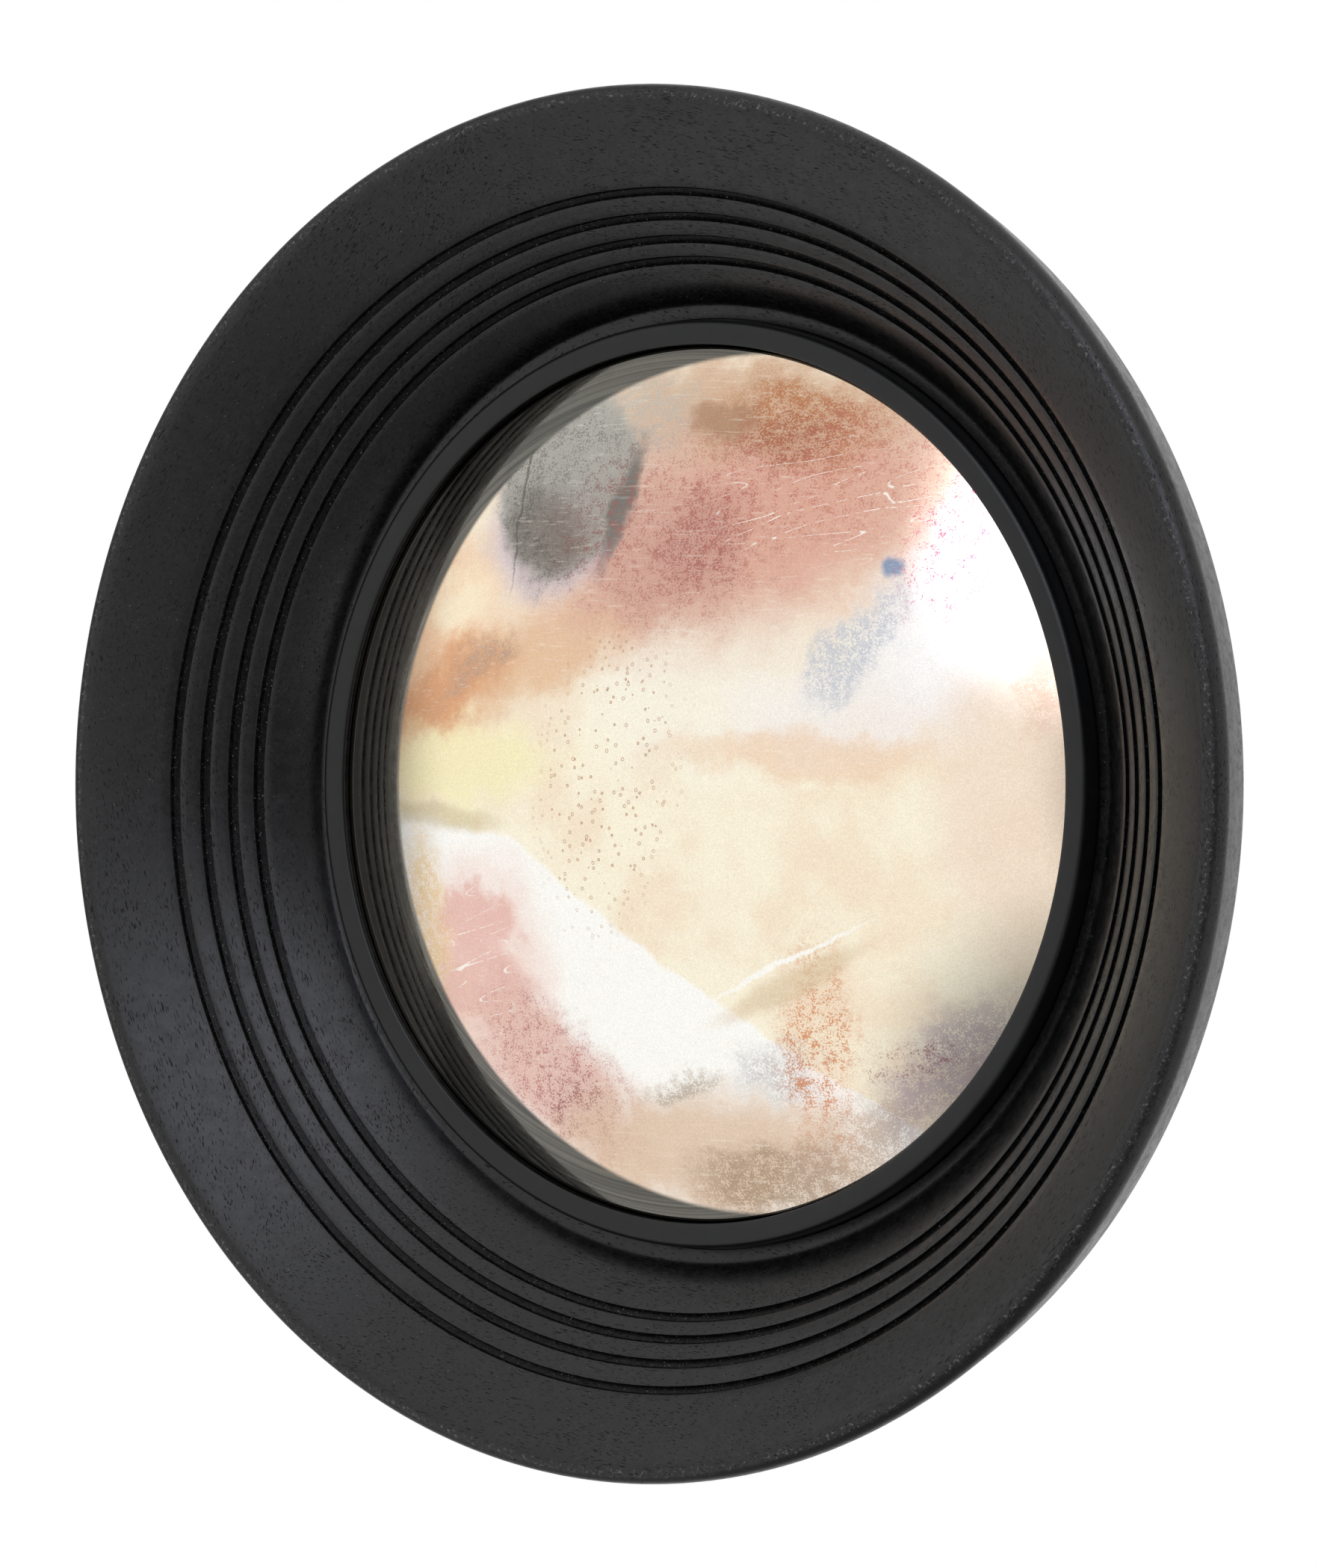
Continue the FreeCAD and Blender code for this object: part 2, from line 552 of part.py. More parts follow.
def make_glass_parts():
    """The tape, the glass, the foam ring and the board, in order from the front."""
    turn_section(new_body("glass_seat_tape"), "tape", [
        ("tape_inner_radius", "tape_inner_back_level"),
        ("tape_outer_radius", "tape_outer_back_level"),
        ("tape_outer_radius", "tape_outer_front_level"),
        ("tape_inner_radius", "tape_inner_front_level"),
    ])
    turn_section(new_body("convex_glass"), "dome", [
        (on_axis, "glass_back_apex_level"),
        ("glass_radius", "glass_back_edge_level"),
        ("glass_radius", "glass_edge_level"),
        (on_axis, "glass_apex_level"),
    ], {0: ("glass_back_curve", left), 2: ("glass_curve", right)})
    turn_section(new_body("foam_ring"), "foam", [
        ("foam_inner_radius", "foam_back_level"),
        ("foam_outer_radius", "foam_back_level"),
        ("foam_outer_radius", "foam_outer_level"),
        ("foam_inner_radius", "foam_inner_level"),
    ])
    turn_section(new_body("back_board"), "board", [
        (on_axis, "ledge_level"),
        ("board_radius", "ledge_level"),
        ("board_radius", "board_front_level"),
        (on_axis, "board_front_level"),
    ])


def make_turn_buttons():
    """Small plates that turn on their screws and hold the back board in."""
    for index in range(int(size("button_count"))):
        body = new_body("turn_button_%d" % (index + 1))
        outline = new_sketch(body, "outline", "XZ_Plane", "button_back_level")
        draw_slot(outline, ("button_tip_radius", on_axis), ("button_pitch_radius", on_axis),
                  "button_end_radius")
        draw_circle(outline, "button_pitch_radius", on_axis, "button_hole_radius")
        pad(body, "plate", outline, "button_thickness")
        angle = 360.0 * index / size("button_count")
        body.Placement = FreeCAD.Placement(
            FreeCAD.Vector(), FreeCAD.Rotation(FreeCAD.Vector(0, -1, 0), angle))
        body.setExpression("Placement.Rotation.Angle", "360 * %d / Sizes.button_count" % index)


def make_button_screws():
    """Round-headed screws, one through each turn button into the ledge."""
    body = new_body("turn_button_screws")
    screw = turn_fastener(body, "screw", [
        ("button_pitch_radius", "button_head_back_level"),
        ("button_head_side", "button_head_edge_level"),
        ("button_head_side", "button_head_level"),
        ("button_shank_side", "button_head_level"),
        ("button_shank_side", "button_taper_level"),
        ("button_pitch_radius", "button_screw_point"),
    ], "button_pitch_radius", {0: ("button_head_curve", right)})
    repeat_round(body, "screws", [screw], "button_count")


def make_keyhole_plate():
    """The flush plate at the top of the foot ring that hangs on a wall screw."""
    body = new_body("keyhole_plate")
    outline = new_sketch(body, "plate_outline", "XZ_Plane", "plate_back_level")
    draw_rounded_plate(outline, "plate_width", "plate_height", "plate_corner")
    pad(body, "plate", outline, "plate_thickness")
    opening = new_sketch(body, "keyhole_outline", "XZ_Plane", "plate_back_level")
    draw_circle(opening, on_axis, "keyhole_height", "keyhole_radius")
    cut_forward(body, "keyhole", opening, "plate_thickness")
    slot = new_sketch(body, "slot_outline", "XZ_Plane", "plate_back_level")
    draw_slot(slot, (on_axis, "keyhole_height"), (on_axis, "slot_height"), "keyhole_slot_radius")
    cut_forward(body, "slot", slot, "plate_thickness")
    before = body.Shape.Volume
    hole = turn_fastener(body, "screw_hole", [
        ("plate_screw_reach", "plate_back_level"),
        ("plate_sink_side", "plate_back_level"),
        ("plate_hole_side", "plate_screw_neck"),
        ("plate_hole_side", "plate_front_level"),
        ("plate_screw_reach", "plate_front_level"),
    ], "plate_screw_reach", height="plate_centre_height", kind="Groove")
    if not body.Shape.Volume < before:
        raise ValueError("the plate's screw hole cuts nothing")
    mirror_sideways(body, "screw_holes", [hole])


def make_plate_screws():
    """The keyhole plate's two countersunk screws."""
    body = new_body("keyhole_screws")
    screw = turn_fastener(body, "screw", [
        ("plate_screw_reach", "plate_back_level"),
        ("plate_head_side", "plate_back_level"),
        ("plate_shank_side", "plate_screw_neck"),
        ("plate_shank_side", "plate_taper_level"),
        ("plate_screw_reach", "plate_screw_point"),
    ], "plate_screw_reach", height="plate_centre_height")
    mirror_sideways(body, "screws", [screw])


make_turned_frame()
make_slip_ring()
make_slip_brads()
make_glass_parts()
make_turn_buttons()
make_button_screws()
make_keyhole_plate()
make_plate_screws()
doc.recompute()

for item in doc.Objects:
    if "Invalid" in item.State or "Error" in item.State:
        raise ValueError("%s could not be built: %s" % (item.Label, item.State))
nodes = [item for item in doc.Objects if item.TypeId == "PartDesign::Body"]
for body in nodes:
    if body.Shape.isNull() or not body.Shape.isValid() or not body.Shape.Solids:
        raise ValueError("%s has no sound solid" % body.Label)

os.makedirs("parts", exist_ok=True)
for body in nodes:
    body.Shape.exportStep("parts/%s.step" % body.Label)
    print("%-20s %2d solids %10.0f mm3" % (body.Label, len(body.Shape.Solids), body.Shape.Volume))
print("glass apex behind the rim: %.2f mm" % (size("frame_depth") - size("glass_apex_level")))
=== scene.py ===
import bpy
import math
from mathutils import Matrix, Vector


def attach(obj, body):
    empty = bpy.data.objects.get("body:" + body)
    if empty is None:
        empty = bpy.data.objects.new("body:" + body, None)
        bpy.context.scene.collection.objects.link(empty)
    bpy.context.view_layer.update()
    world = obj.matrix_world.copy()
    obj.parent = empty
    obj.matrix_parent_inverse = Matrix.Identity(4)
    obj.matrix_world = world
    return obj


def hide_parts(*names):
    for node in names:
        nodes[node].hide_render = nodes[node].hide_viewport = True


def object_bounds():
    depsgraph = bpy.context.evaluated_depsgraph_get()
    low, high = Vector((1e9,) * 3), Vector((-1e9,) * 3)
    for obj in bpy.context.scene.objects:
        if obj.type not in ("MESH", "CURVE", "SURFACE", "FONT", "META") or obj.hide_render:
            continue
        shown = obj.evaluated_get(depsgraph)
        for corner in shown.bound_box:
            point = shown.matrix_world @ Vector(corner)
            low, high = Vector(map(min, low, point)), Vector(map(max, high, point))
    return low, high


# Convex wall mirror in a turned, ebonised dish frame.
# The mirror's axis is Y, and its front looks along -Y.
# A level is a distance in front of the wall plane, so y = -level.
# Settings are in millimetres and degrees unless a note says otherwise.

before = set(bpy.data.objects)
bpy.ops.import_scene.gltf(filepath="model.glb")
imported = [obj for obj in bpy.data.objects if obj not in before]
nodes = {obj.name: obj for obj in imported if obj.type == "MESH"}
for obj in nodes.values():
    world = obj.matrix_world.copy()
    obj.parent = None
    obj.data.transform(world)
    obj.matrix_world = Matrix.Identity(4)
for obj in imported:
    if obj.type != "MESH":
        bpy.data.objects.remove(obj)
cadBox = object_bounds()
mm = 0.001
mergeDistance = 0.004 * mm
frontOfFrame = -cadBox[0].y / mm      # level of the rim
rimRadius = cadBox[1].x / mm
bpy.ops.object.select_all(action="DESELECT")
print("frame loaded, rim radius", round(rimRadius, 1), "depth", round(frontOfFrame, 1))


# small helpers for meshes

def editMode(selected="SELECT"):
    bpy.ops.object.mode_set(mode="EDIT")
    bpy.ops.mesh.select_all(action=selected)


def objectMode():
    bpy.ops.object.mode_set(mode="OBJECT")


def takeOnly(piece):
    bpy.ops.object.select_all(action="DESELECT")
    piece.select_set(True)
    bpy.context.view_layer.objects.active = piece


def settle(piece):
    # puts the object's place into its mesh
    takeOnly(piece)
    bpy.ops.object.transform_apply(location=True, rotation=True, scale=True)


def applyModifier(piece, kind, **settings):
    takeOnly(piece)
    modifier = piece.modifiers.new(kind.title(), kind)
    for setting, value in settings.items():
        setattr(modifier, setting, value)
    bpy.ops.object.modifier_apply(modifier=modifier.name)


def carve(piece, cutter):
    applyModifier(piece, "BOOLEAN", operation="DIFFERENCE", solver="EXACT", object=cutter)
    bpy.data.objects.remove(cutter)


def join(name, pieces):
    takeOnly(pieces[0])
    for piece in pieces:
        piece.select_set(True)
    if len(pieces) > 1:
        bpy.ops.object.join()
    pieces[0].name = name
    return pieces[0]


def copyOf(piece, name):
    # a copy with its own mesh
    twin = piece.copy()
    twin.data = piece.data.copy()
    twin.name = name
    bpy.context.scene.collection.objects.link(twin)
    return twin


def tidyMesh(piece, smoothAngle=35):
    takeOnly(piece)
    editMode()
    bpy.ops.mesh.remove_doubles(threshold=mergeDistance)
    bpy.ops.mesh.normals_make_consistent(inside=False)
    objectMode()
    bpy.ops.object.shade_smooth_by_angle(angle=math.radians(smoothAngle))


def turned(name, outline, steps):
    # a loop of points (radius, level), spun round the Y axis
    bpy.ops.object.select_all(action="DESELECT")
    bpy.ops.mesh.primitive_circle_add(vertices=len(outline), radius=1)
    piece = bpy.context.object
    piece.name = name
    for vertex, (radius, level) in zip(piece.data.vertices, outline):
        vertex.co = (radius * mm, -level * mm, 0)
    editMode()
    bpy.ops.mesh.spin(steps=steps, angle=2 * math.pi, center=(0, 0, 0), axis=(0, 1, 0))
    objectMode()
    tidyMesh(piece)
    return piece


def arcPoints(centre, radius, start, end, count):
    points = []
    for index in range(count + 1):
        angle = math.radians(start + (end - start) * index / count)
        points.append((centre[0] + radius * math.cos(angle), centre[1] + radius * math.sin(angle)))
    return points


def eased(outline, radii, steps=3):
    # rounds each corner of an outline that has a radius; the other points stay
    mostOfSide = 0.45     # an easing takes no more than this share of a side
    points = []
    count = len(outline)
    for index, (corner, radius) in enumerate(zip(outline, radii)):
        if not radius:
            points.append(corner)
            continue
        before, after = outline[index - 1], outline[(index + 1) % count]
        legs = []
        for other in (before, after):
            span = math.dist(corner, other)
            reach = min(radius, span * mostOfSide)
            legs.append((corner[0] + (other[0] - corner[0]) * reach / span,
                         corner[1] + (other[1] - corner[1]) * reach / span))
        for step in range(steps + 1):
            t = step / steps
            points.append(tuple((1 - t) ** 2 * a + 2 * t * (1 - t) * c + t ** 2 * b
                                for a, c, b in zip(legs[0], corner, legs[1])))
    return points


def cylinder(radius, low, high, x=0.0, z=0.0, vertices=32):
    # along Y, between two levels
    bpy.ops.object.select_all(action="DESELECT")
    bpy.ops.mesh.primitive_cylinder_add(vertices=vertices, radius=radius * mm, depth=(high - low) * mm,
                                        location=(x * mm, -(low + high) / 2 * mm, z * mm),
                                        rotation=(math.pi / 2, 0, 0))
    piece = bpy.context.object
    settle(piece)
    return piece


def block(width, height, low, high, x=0.0, z=0.0):
    bpy.ops.object.select_all(action="DESELECT")
    bpy.ops.mesh.primitive_cube_add(size=1, location=(x * mm, -(low + high) / 2 * mm, z * mm))
    piece = bpy.context.object
    piece.scale = (width * mm, (high - low) * mm, height * mm)
    settle(piece)
    return piece


def roundedPlate(width, height, corner, low, high, z, segments=8):
    # a block whose four edges along Y are rounded
    piece = block(width, height, low, high, 0, z)
    editMode("DESELECT")
    bpy.ops.mesh.select_mode(type="EDGE")
    objectMode()
    for edge in piece.data.edges:
        ends = [piece.data.vertices[index].co for index in edge.vertices]
        edge.select = abs(ends[0].y - ends[1].y) > 0.1 * mm
    bpy.ops.object.mode_set(mode="EDIT")
    bpy.ops.mesh.bevel(offset=corner * mm, segments=segments, affect="EDGES")
    bpy.ops.mesh.select_mode(type="VERT")
    objectMode()
    return piece


# small helpers for materials

def paint(code):
    # a written colour as the shader's linear colour
    channels = [int(code[index:index + 2], 16) / 255 for index in (0, 2, 4)]
    return tuple(c / 12.92 if c <= 0.04045 else ((c + 0.055) / 1.055) ** 2.4 for c in channels) + (1.0,)


def addNode(tree, kind, inputs, **settings):
    node = tree.nodes.new("ShaderNode" + kind)
    for setting, value in settings.items():
        setattr(node, setting, value)
    for socket, value in inputs.items():
        if isinstance(value, bpy.types.NodeSocket):
            tree.links.new(value, node.inputs[socket])
        else:
            node.inputs[socket].default_value = value
    return node


def maths(tree, operation, first, second=0.0):
    return addNode(tree, "Math", {0: first, 1: second}, operation=operation).outputs[0]


def vectorMaths(tree, operation, first, second):
    return addNode(tree, "VectorMath", {0: first, 1: second}, operation=operation).outputs[0]


def fade(tree, value, low, high, outLow=0.0, outHigh=1.0):
    return addNode(tree, "MapRange", {0: value, 1: low, 2: high, 3: outLow, 4: outHigh},
                   interpolation_type="SMOOTHSTEP").outputs[0]


def blendColour(tree, amount, first, second, way="MIX"):
    return addNode(tree, "Mix", {0: amount, 6: first, 7: second}, data_type="RGBA",
                   blend_type=way).outputs[2]


def noise(tree, vector, size, detail=2.0, roughness=0.5, colour=False):
    # size is the width of the noise's features, in the vector's own unit
    node = addNode(tree, "TexNoise", {"Vector": vector, "Scale": 1 / size, "Detail": detail,
                                      "Roughness": roughness})
    return node.outputs["Color" if colour else "Fac"]


def millimetres(tree):
    place = addNode(tree, "TexCoord", {}).outputs["Object"]
    return addNode(tree, "VectorMath", {0: place, "Scale": 1000.0}, operation="SCALE").outputs[0]


def stretched(tree, vector, scale):
    return vectorMaths(tree, "MULTIPLY", vector, scale)


def newMaterial(name, **sockets):
    material = bpy.data.materials.new(name)
    material.use_nodes = True
    tree = material.node_tree
    shader = tree.nodes["Principled BSDF"]
    for socket, value in sockets.items():
        shader.inputs[socket.replace("_", " ")].default_value = value
    return material, tree, shader


def wear(tree, shader, socket, value):
    tree.links.new(value, shader.inputs[socket])


def bump(tree, shader, height, distance, strength=1.0):
    # distance in millimetres
    node = addNode(tree, "Bump", {"Height": height, "Distance": distance * mm, "Strength": strength})
    tree.links.new(node.outputs[0], shader.inputs["Normal"])


# finishes

lacquer = {"segments": 6, "segmentTurn": 12, "grainLength": 2.2, "grainWidth": 0.36,
           "body": "0b0b0b", "poreColour": "030303", "filler": "131314", "speck": "9c9c9a",
           "roughness": 0.33, "sheen": 0.5, "poreSheen": 0.24, "grooveSheen": 0.16,
           # distance between one segment's grain and the next one's, and how far the grain bends
           "segmentGap": 37.0, "bend": 5.0, "bendScale": (0.02, 0.1, 0.08),
           # widths of the clouds, the mottling, the patches of pores, the gloss and the dust
           "cloud": 9.0, "mottle": 1.1, "patch": 14.0, "patchiness": 0.22, "gloss": 4.0, "dust": 0.5,
           # noise levels between which a pore and a speck of dust appear; dust is commoner in a groove
           "poreLevels": (0.61, 0.70), "dustLevel": 0.755, "grooveDustLevel": 0.70, "relief": 0.035,
           # the worn ring on the shoulder: radius and half width
           "scuff": {"radius": 196.8, "half": 1.9, "core": 0.2, "level": 40, "fadeLevel": 46, "size": 1.2,
                     "amount": 0.7, "colour": "626260"}}


def makeLacquer():
    # black lacquer over open pores; the rim is glued up from segments, each with its own grain
    material, tree, shader = newMaterial("ebonisedLacquer", IOR=1.45)
    place = millimetres(tree)
    parts = addNode(tree, "SeparateXYZ", {0: place})
    angle = maths(tree, "ARCTAN2", parts.outputs[0], parts.outputs[2])
    share = 2 * math.pi / lacquer["segments"]
    offset = math.radians(lacquer["segmentTurn"])
    turns = maths(tree, "DIVIDE", maths(tree, "SUBTRACT", angle, offset), share)
    segment = maths(tree, "ROUND", turns)
    tilt = maths(tree, "ADD", maths(tree, "MULTIPLY", segment, share), offset)
    along = addNode(tree, "VectorRotate", {"Vector": place, "Angle": maths(tree, "MULTIPLY", tilt, -1.0)},
                    rotation_type="Y_AXIS").outputs[0]
    gap = maths(tree, "MULTIPLY", segment, lacquer["segmentGap"])
    along = vectorMaths(tree, "ADD", along, addNode(tree, "CombineXYZ", {0: gap}).outputs[0])
    bent = noise(tree, stretched(tree, along, lacquer["bendScale"]), 1.0, 2.0)
    bend = addNode(tree, "CombineXYZ", {2: maths(tree, "MULTIPLY", bent, lacquer["bend"])}).outputs[0]
    along = vectorMaths(tree, "ADD", along, bend)

    size = (1 / lacquer["grainLength"], 1 / lacquer["grainWidth"], 1 / lacquer["grainWidth"])
    dashes = noise(tree, stretched(tree, along, size), 1.0, 1.5, 0.4)
    patches = maths(tree, "SUBTRACT", noise(tree, place, lacquer["patch"], 2.0), 0.5)
    level = maths(tree, "ADD", dashes, maths(tree, "MULTIPLY", patches, lacquer["patchiness"]))
    pores = fade(tree, level, *lacquer["poreLevels"])
    groove = addNode(tree, "Attribute", {}, attribute_name="groove").outputs["Fac"]
    cloud = noise(tree, place, lacquer["cloud"], 5.0, 0.65)
    mottle = noise(tree, place, lacquer["mottle"], 3.0, 0.6)
    body = blendColour(tree, fade(tree, cloud, 0.35, 0.7), paint(lacquer["body"]), paint(lacquer["filler"]))
    body = blendColour(tree, fade(tree, mottle, 0.45, 0.62), body, paint(lacquer["poreColour"]))
    body = blendColour(tree, pores, body, paint(lacquer["poreColour"]))

    # specks of dust, more of them in the grooves
    threshold = fade(tree, groove, 0.0, 1.0, lacquer["dustLevel"], lacquer["grooveDustLevel"])
    dusty = maths(tree, "SUBTRACT", noise(tree, place, lacquer["dust"], 1.0), threshold)
    dust = fade(tree, dusty, 0.0, 0.04)
    body = blendColour(tree, maths(tree, "MULTIPLY", dust, 0.35), body, paint(lacquer["speck"]))

    # scuffs where the shoulder has been knocked
    scuff = lacquer["scuff"]
    radius = addNode(tree, "VectorMath", {0: stretched(tree, place, (1, 0, 1))},
                     operation="LENGTH").outputs["Value"]
    away = maths(tree, "ABSOLUTE", maths(tree, "SUBTRACT", radius, scuff["radius"]))
    onRim = maths(tree, "MULTIPLY", fade(tree, away, scuff["half"], scuff["core"]),
                  fade(tree, parts.outputs[1], -scuff["level"], -scuff["fadeLevel"]))
    rubbed = fade(tree, noise(tree, place, scuff["size"], 5.0, 0.75), 0.54, 0.64)
    worn = maths(tree, "MULTIPLY", maths(tree, "MULTIPLY", onRim, rubbed), scuff["amount"])
    body = blendColour(tree, worn, body, paint(scuff["colour"]))
    wear(tree, shader, "Base Color", body)
    gloss = fade(tree, noise(tree, place, lacquer["gloss"], 4.0, 0.6), 0.3, 0.75,
                 lacquer["roughness"] - 0.05, lacquer["roughness"] + 0.07)
    wear(tree, shader, "Roughness", maths(tree, "ADD", gloss, maths(tree, "MULTIPLY", pores, 0.2)))
    sheen = fade(tree, pores, 0.0, 1.0, lacquer["sheen"], lacquer["poreSheen"])
    sheen = maths(tree, "MULTIPLY", sheen, fade(tree, groove, 0.2, 1.0, 1.0,
                                                lacquer["grooveSheen"] / lacquer["sheen"]))
    wear(tree, shader, "Specular IOR Level", sheen)
    relief = maths(tree, "SUBTRACT", maths(tree, "MULTIPLY", mottle, 0.4), pores)
    bump(tree, shader, relief, lacquer["relief"], 0.6)
    return material


slipFinish = {"body": "08090a", "worn": "0e0f11", "roughness": 0.34, "cloud": 6.0, "fine": 0.5,
              "relief": 0.01}


def makeSlipFinish():
    # the slip ring's smoother, slightly bluish satin
    material, tree, shader = newMaterial("satinSlip", IOR=1.42)
    place = millimetres(tree)
    cloud = noise(tree, place, slipFinish["cloud"], 5.0, 0.6)
    fine = noise(tree, place, slipFinish["fine"], 2.0)
    body = blendColour(tree, fade(tree, cloud, 0.4, 0.7), paint(slipFinish["body"]),
                       paint(slipFinish["worn"]))
    wear(tree, shader, "Base Color", body)
    wear(tree, shader, "Roughness", fade(tree, fine, 0.3, 0.7, slipFinish["roughness"] - 0.04,
                                         slipFinish["roughness"] + 0.06))
    bump(tree, shader, fine, slipFinish["relief"], 0.5)
    return material


def stainOrReflection(at, size, colour, turn=0.0, soft=0.6, amount=1.0, speckle=None, ragged=1.0):
    return {"at": at, "size": size, "colour": colour, "turn": turn, "soft": soft, "amount": amount,
            "speckle": speckle, "ragged": ragged}


# foxing and lifted silver, with a few painted reflections and painted shade, as (x, z) places on the glass;
# speckle is how much of the stain is bare
stainsAndReflections = [
    # broad warm and cool clouds
    stainOrReflection((20, 34), (44, 30), "FBF6E6", soft=1.0, amount=0.8),
    stainOrReflection((-84, 38), (26, 34), "F0B98A", soft=1.0, amount=0.75),
    stainOrReflection((-42, 38), (50, 12), "E6BE96", turn=-20, soft=1.0, amount=0.9),
    stainOrReflection((-80, 26), (28, 10), "D8945E", turn=-24, soft=1.0, amount=0.8),
    stainOrReflection((-66, 34), (17, 5), "B09684", turn=-28, soft=1.0, amount=0.75, speckle=0.5),
    stainOrReflection((-76, 52), (12, 9), "FFF0D0", soft=1.0, amount=0.8),
    stainOrReflection((-70, 6), (34, 12), "F9EEBC", soft=0.9, amount=0.9),
    # painted shade along the upper edge of the painted reflection at the lower left
    stainOrReflection((-82, -9), (24, 3.4), "C9B888", turn=4, soft=1.0, amount=0.6, ragged=0.3),
    stainOrReflection((10, 78), (66, 38), "E3B6A0", soft=0.9, amount=0.85),
    stainOrReflection((44, 78), (42, 24), "DFA893", turn=-8, soft=0.9, amount=0.75),
    stainOrReflection((-2, 66), (26, 20), "CF9F90", soft=1.0, amount=0.7),
    stainOrReflection((20, 108), (50, 14), "D2AE8E", soft=0.9, amount=0.8),
    stainOrReflection((104, 66), (19, 34), "FCF8FC", soft=0.8, amount=1.0, turn=16),
    stainOrReflection((90, 40), (24, 24), "FFFDFC", soft=1.0, amount=0.9),
    stainOrReflection((64, 20), (34, 13), "F6F0F0", soft=1.0, amount=0.6),
    stainOrReflection((112, -4), (22, 44), "F1D9C4", soft=0.9, amount=0.7, ragged=0.3),
    stainOrReflection((50, 8), (40, 6), "EFC9A4", turn=3, soft=1.0, amount=0.55),
    stainOrReflection((118, 32), (7, 18), "D6B49C", soft=0.9, amount=0.7, speckle=0.3),
    # silver gone grey, in the upper left
    stainOrReflection((-43, 72), (24, 18), "CFC4D0", soft=0.5, amount=0.7, ragged=0.5),
    stainOrReflection((-39, 86), (25, 27), "A5A39A", turn=12, soft=0.2, amount=0.95, ragged=0.5),
    stainOrReflection((-20, 104), (24, 15), "BDBAB0", soft=0.8, amount=0.7, speckle=0.45),
    stainOrReflection((-44, 72), (15, 12), "74685E", turn=12, soft=0.9, amount=0.8, ragged=0.5),
    stainOrReflection((-17, 79), (3.6, 17), "56625E", turn=12, soft=0.9, amount=0.8, ragged=0.5),
    stainOrReflection((-38, 94), (18, 16), "DAD7CE", soft=0.9, amount=0.6, speckle=0.6),
    stainOrReflection((-38, 84), (25, 27), "464440", turn=12, soft=0.4, amount=0.7, speckle=0.62),
    # foxing
    stainOrReflection((38, 103), (24, 12), "B4703A", turn=14, soft=0.9, amount=0.9, speckle=0.45),
    stainOrReflection((34, 97), (15, 8), "96502E", soft=1.0, amount=0.7, speckle=0.5),
    stainOrReflection((14, 103), (9, 6), "A8805E", soft=1.0, amount=0.75),
    stainOrReflection((14, 70), (14, 12), "9E4F4A", soft=1.0, amount=0.75, speckle=0.52),
    stainOrReflection((2, 70), (36, 26), "AE6458", soft=1.0, amount=0.7, speckle=0.7),
    stainOrReflection((50, 88), (42, 20), "BC6A5C", soft=1.0, amount=0.65, speckle=0.7),
    stainOrReflection((66, 40), (8, 21), "B4BCCC", turn=34, soft=0.8, amount=0.7, speckle=0.45),
    stainOrReflection((74, 62), (3.2, 2.8), "6A8CB2", soft=0.8, amount=0.85, ragged=0.3),
    stainOrReflection((92, 68), (15, 22), "D8427A", turn=20, soft=0.7, amount=0.85, speckle=0.84),
    # lower left: pink blooms inside a yellow fringe
    stainOrReflection((-68, -58), (26, 34), "F4DACF", turn=20, soft=0.8, amount=0.9),
    stainOrReflection((-85, -42), (10, 26), "F2CC8E", turn=-14, soft=0.9, amount=0.8, speckle=0.35),
    stainOrReflection((-66, -39), (15, 9), "E8B8AC", soft=0.6, amount=0.9),
    stainOrReflection((-67, -57), (17, 11), "E9BAAE", soft=0.6, amount=0.9),
    stainOrReflection((-44, -84), (36, 17), "E6BCAC", turn=42, soft=0.9, amount=0.85),
    stainOrReflection((-42, -84), (32, 18), "AC5C5C", turn=42, soft=0.9, amount=0.75, speckle=0.68),
    stainOrReflection((-34, -96), (15, 9), "8E4048", turn=30, soft=1.0, amount=0.75, speckle=0.62),
    # bottom and lower right
    stainOrReflection((6, -106), (50, 18), "DDBEA0", soft=0.9, amount=0.85),
    stainOrReflection((3, -86), (15, 4), "AC9A84", turn=-8, soft=1.0, amount=0.7, speckle=0.42),
    stainOrReflection((37, -82), (11, 9), "CAC8C8", soft=1.0, amount=0.8, speckle=0.38),
    stainOrReflection((28, -113), (28, 9), "A08468", soft=1.0, amount=0.8, speckle=0.35),
    stainOrReflection((56, -104), (24, 9), "BCA28C", turn=-28, soft=1.0, amount=0.7, speckle=0.35),
    stainOrReflection((49, -74), (11, 28), "D47C34", turn=8, soft=1.0, amount=0.85, speckle=0.64),
    stainOrReflection((88, -80), (26, 11), "B4A4AE", turn=-42, soft=1.0, amount=0.75, speckle=0.3),
    stainOrReflection((76, -79), (14, 6), "94424A", soft=0.9, amount=0.75, speckle=0.78),
    # a painted reflection of a bright edge rising to the right, with painted shade below it, and a scratch
    stainOrReflection((44, -57), (24, 3.6), "DCC4A0", turn=-24, soft=1.0, amount=0.7, ragged=0.3),
    stainOrReflection((42, -51), (26, 0.7), "FFFDF6", turn=-24, soft=0.9, amount=0.9, ragged=0.3),
    stainOrReflection((-55, 82), (0.45, 24), "4C4844", soft=0.8, amount=0.75, ragged=0.3),
]

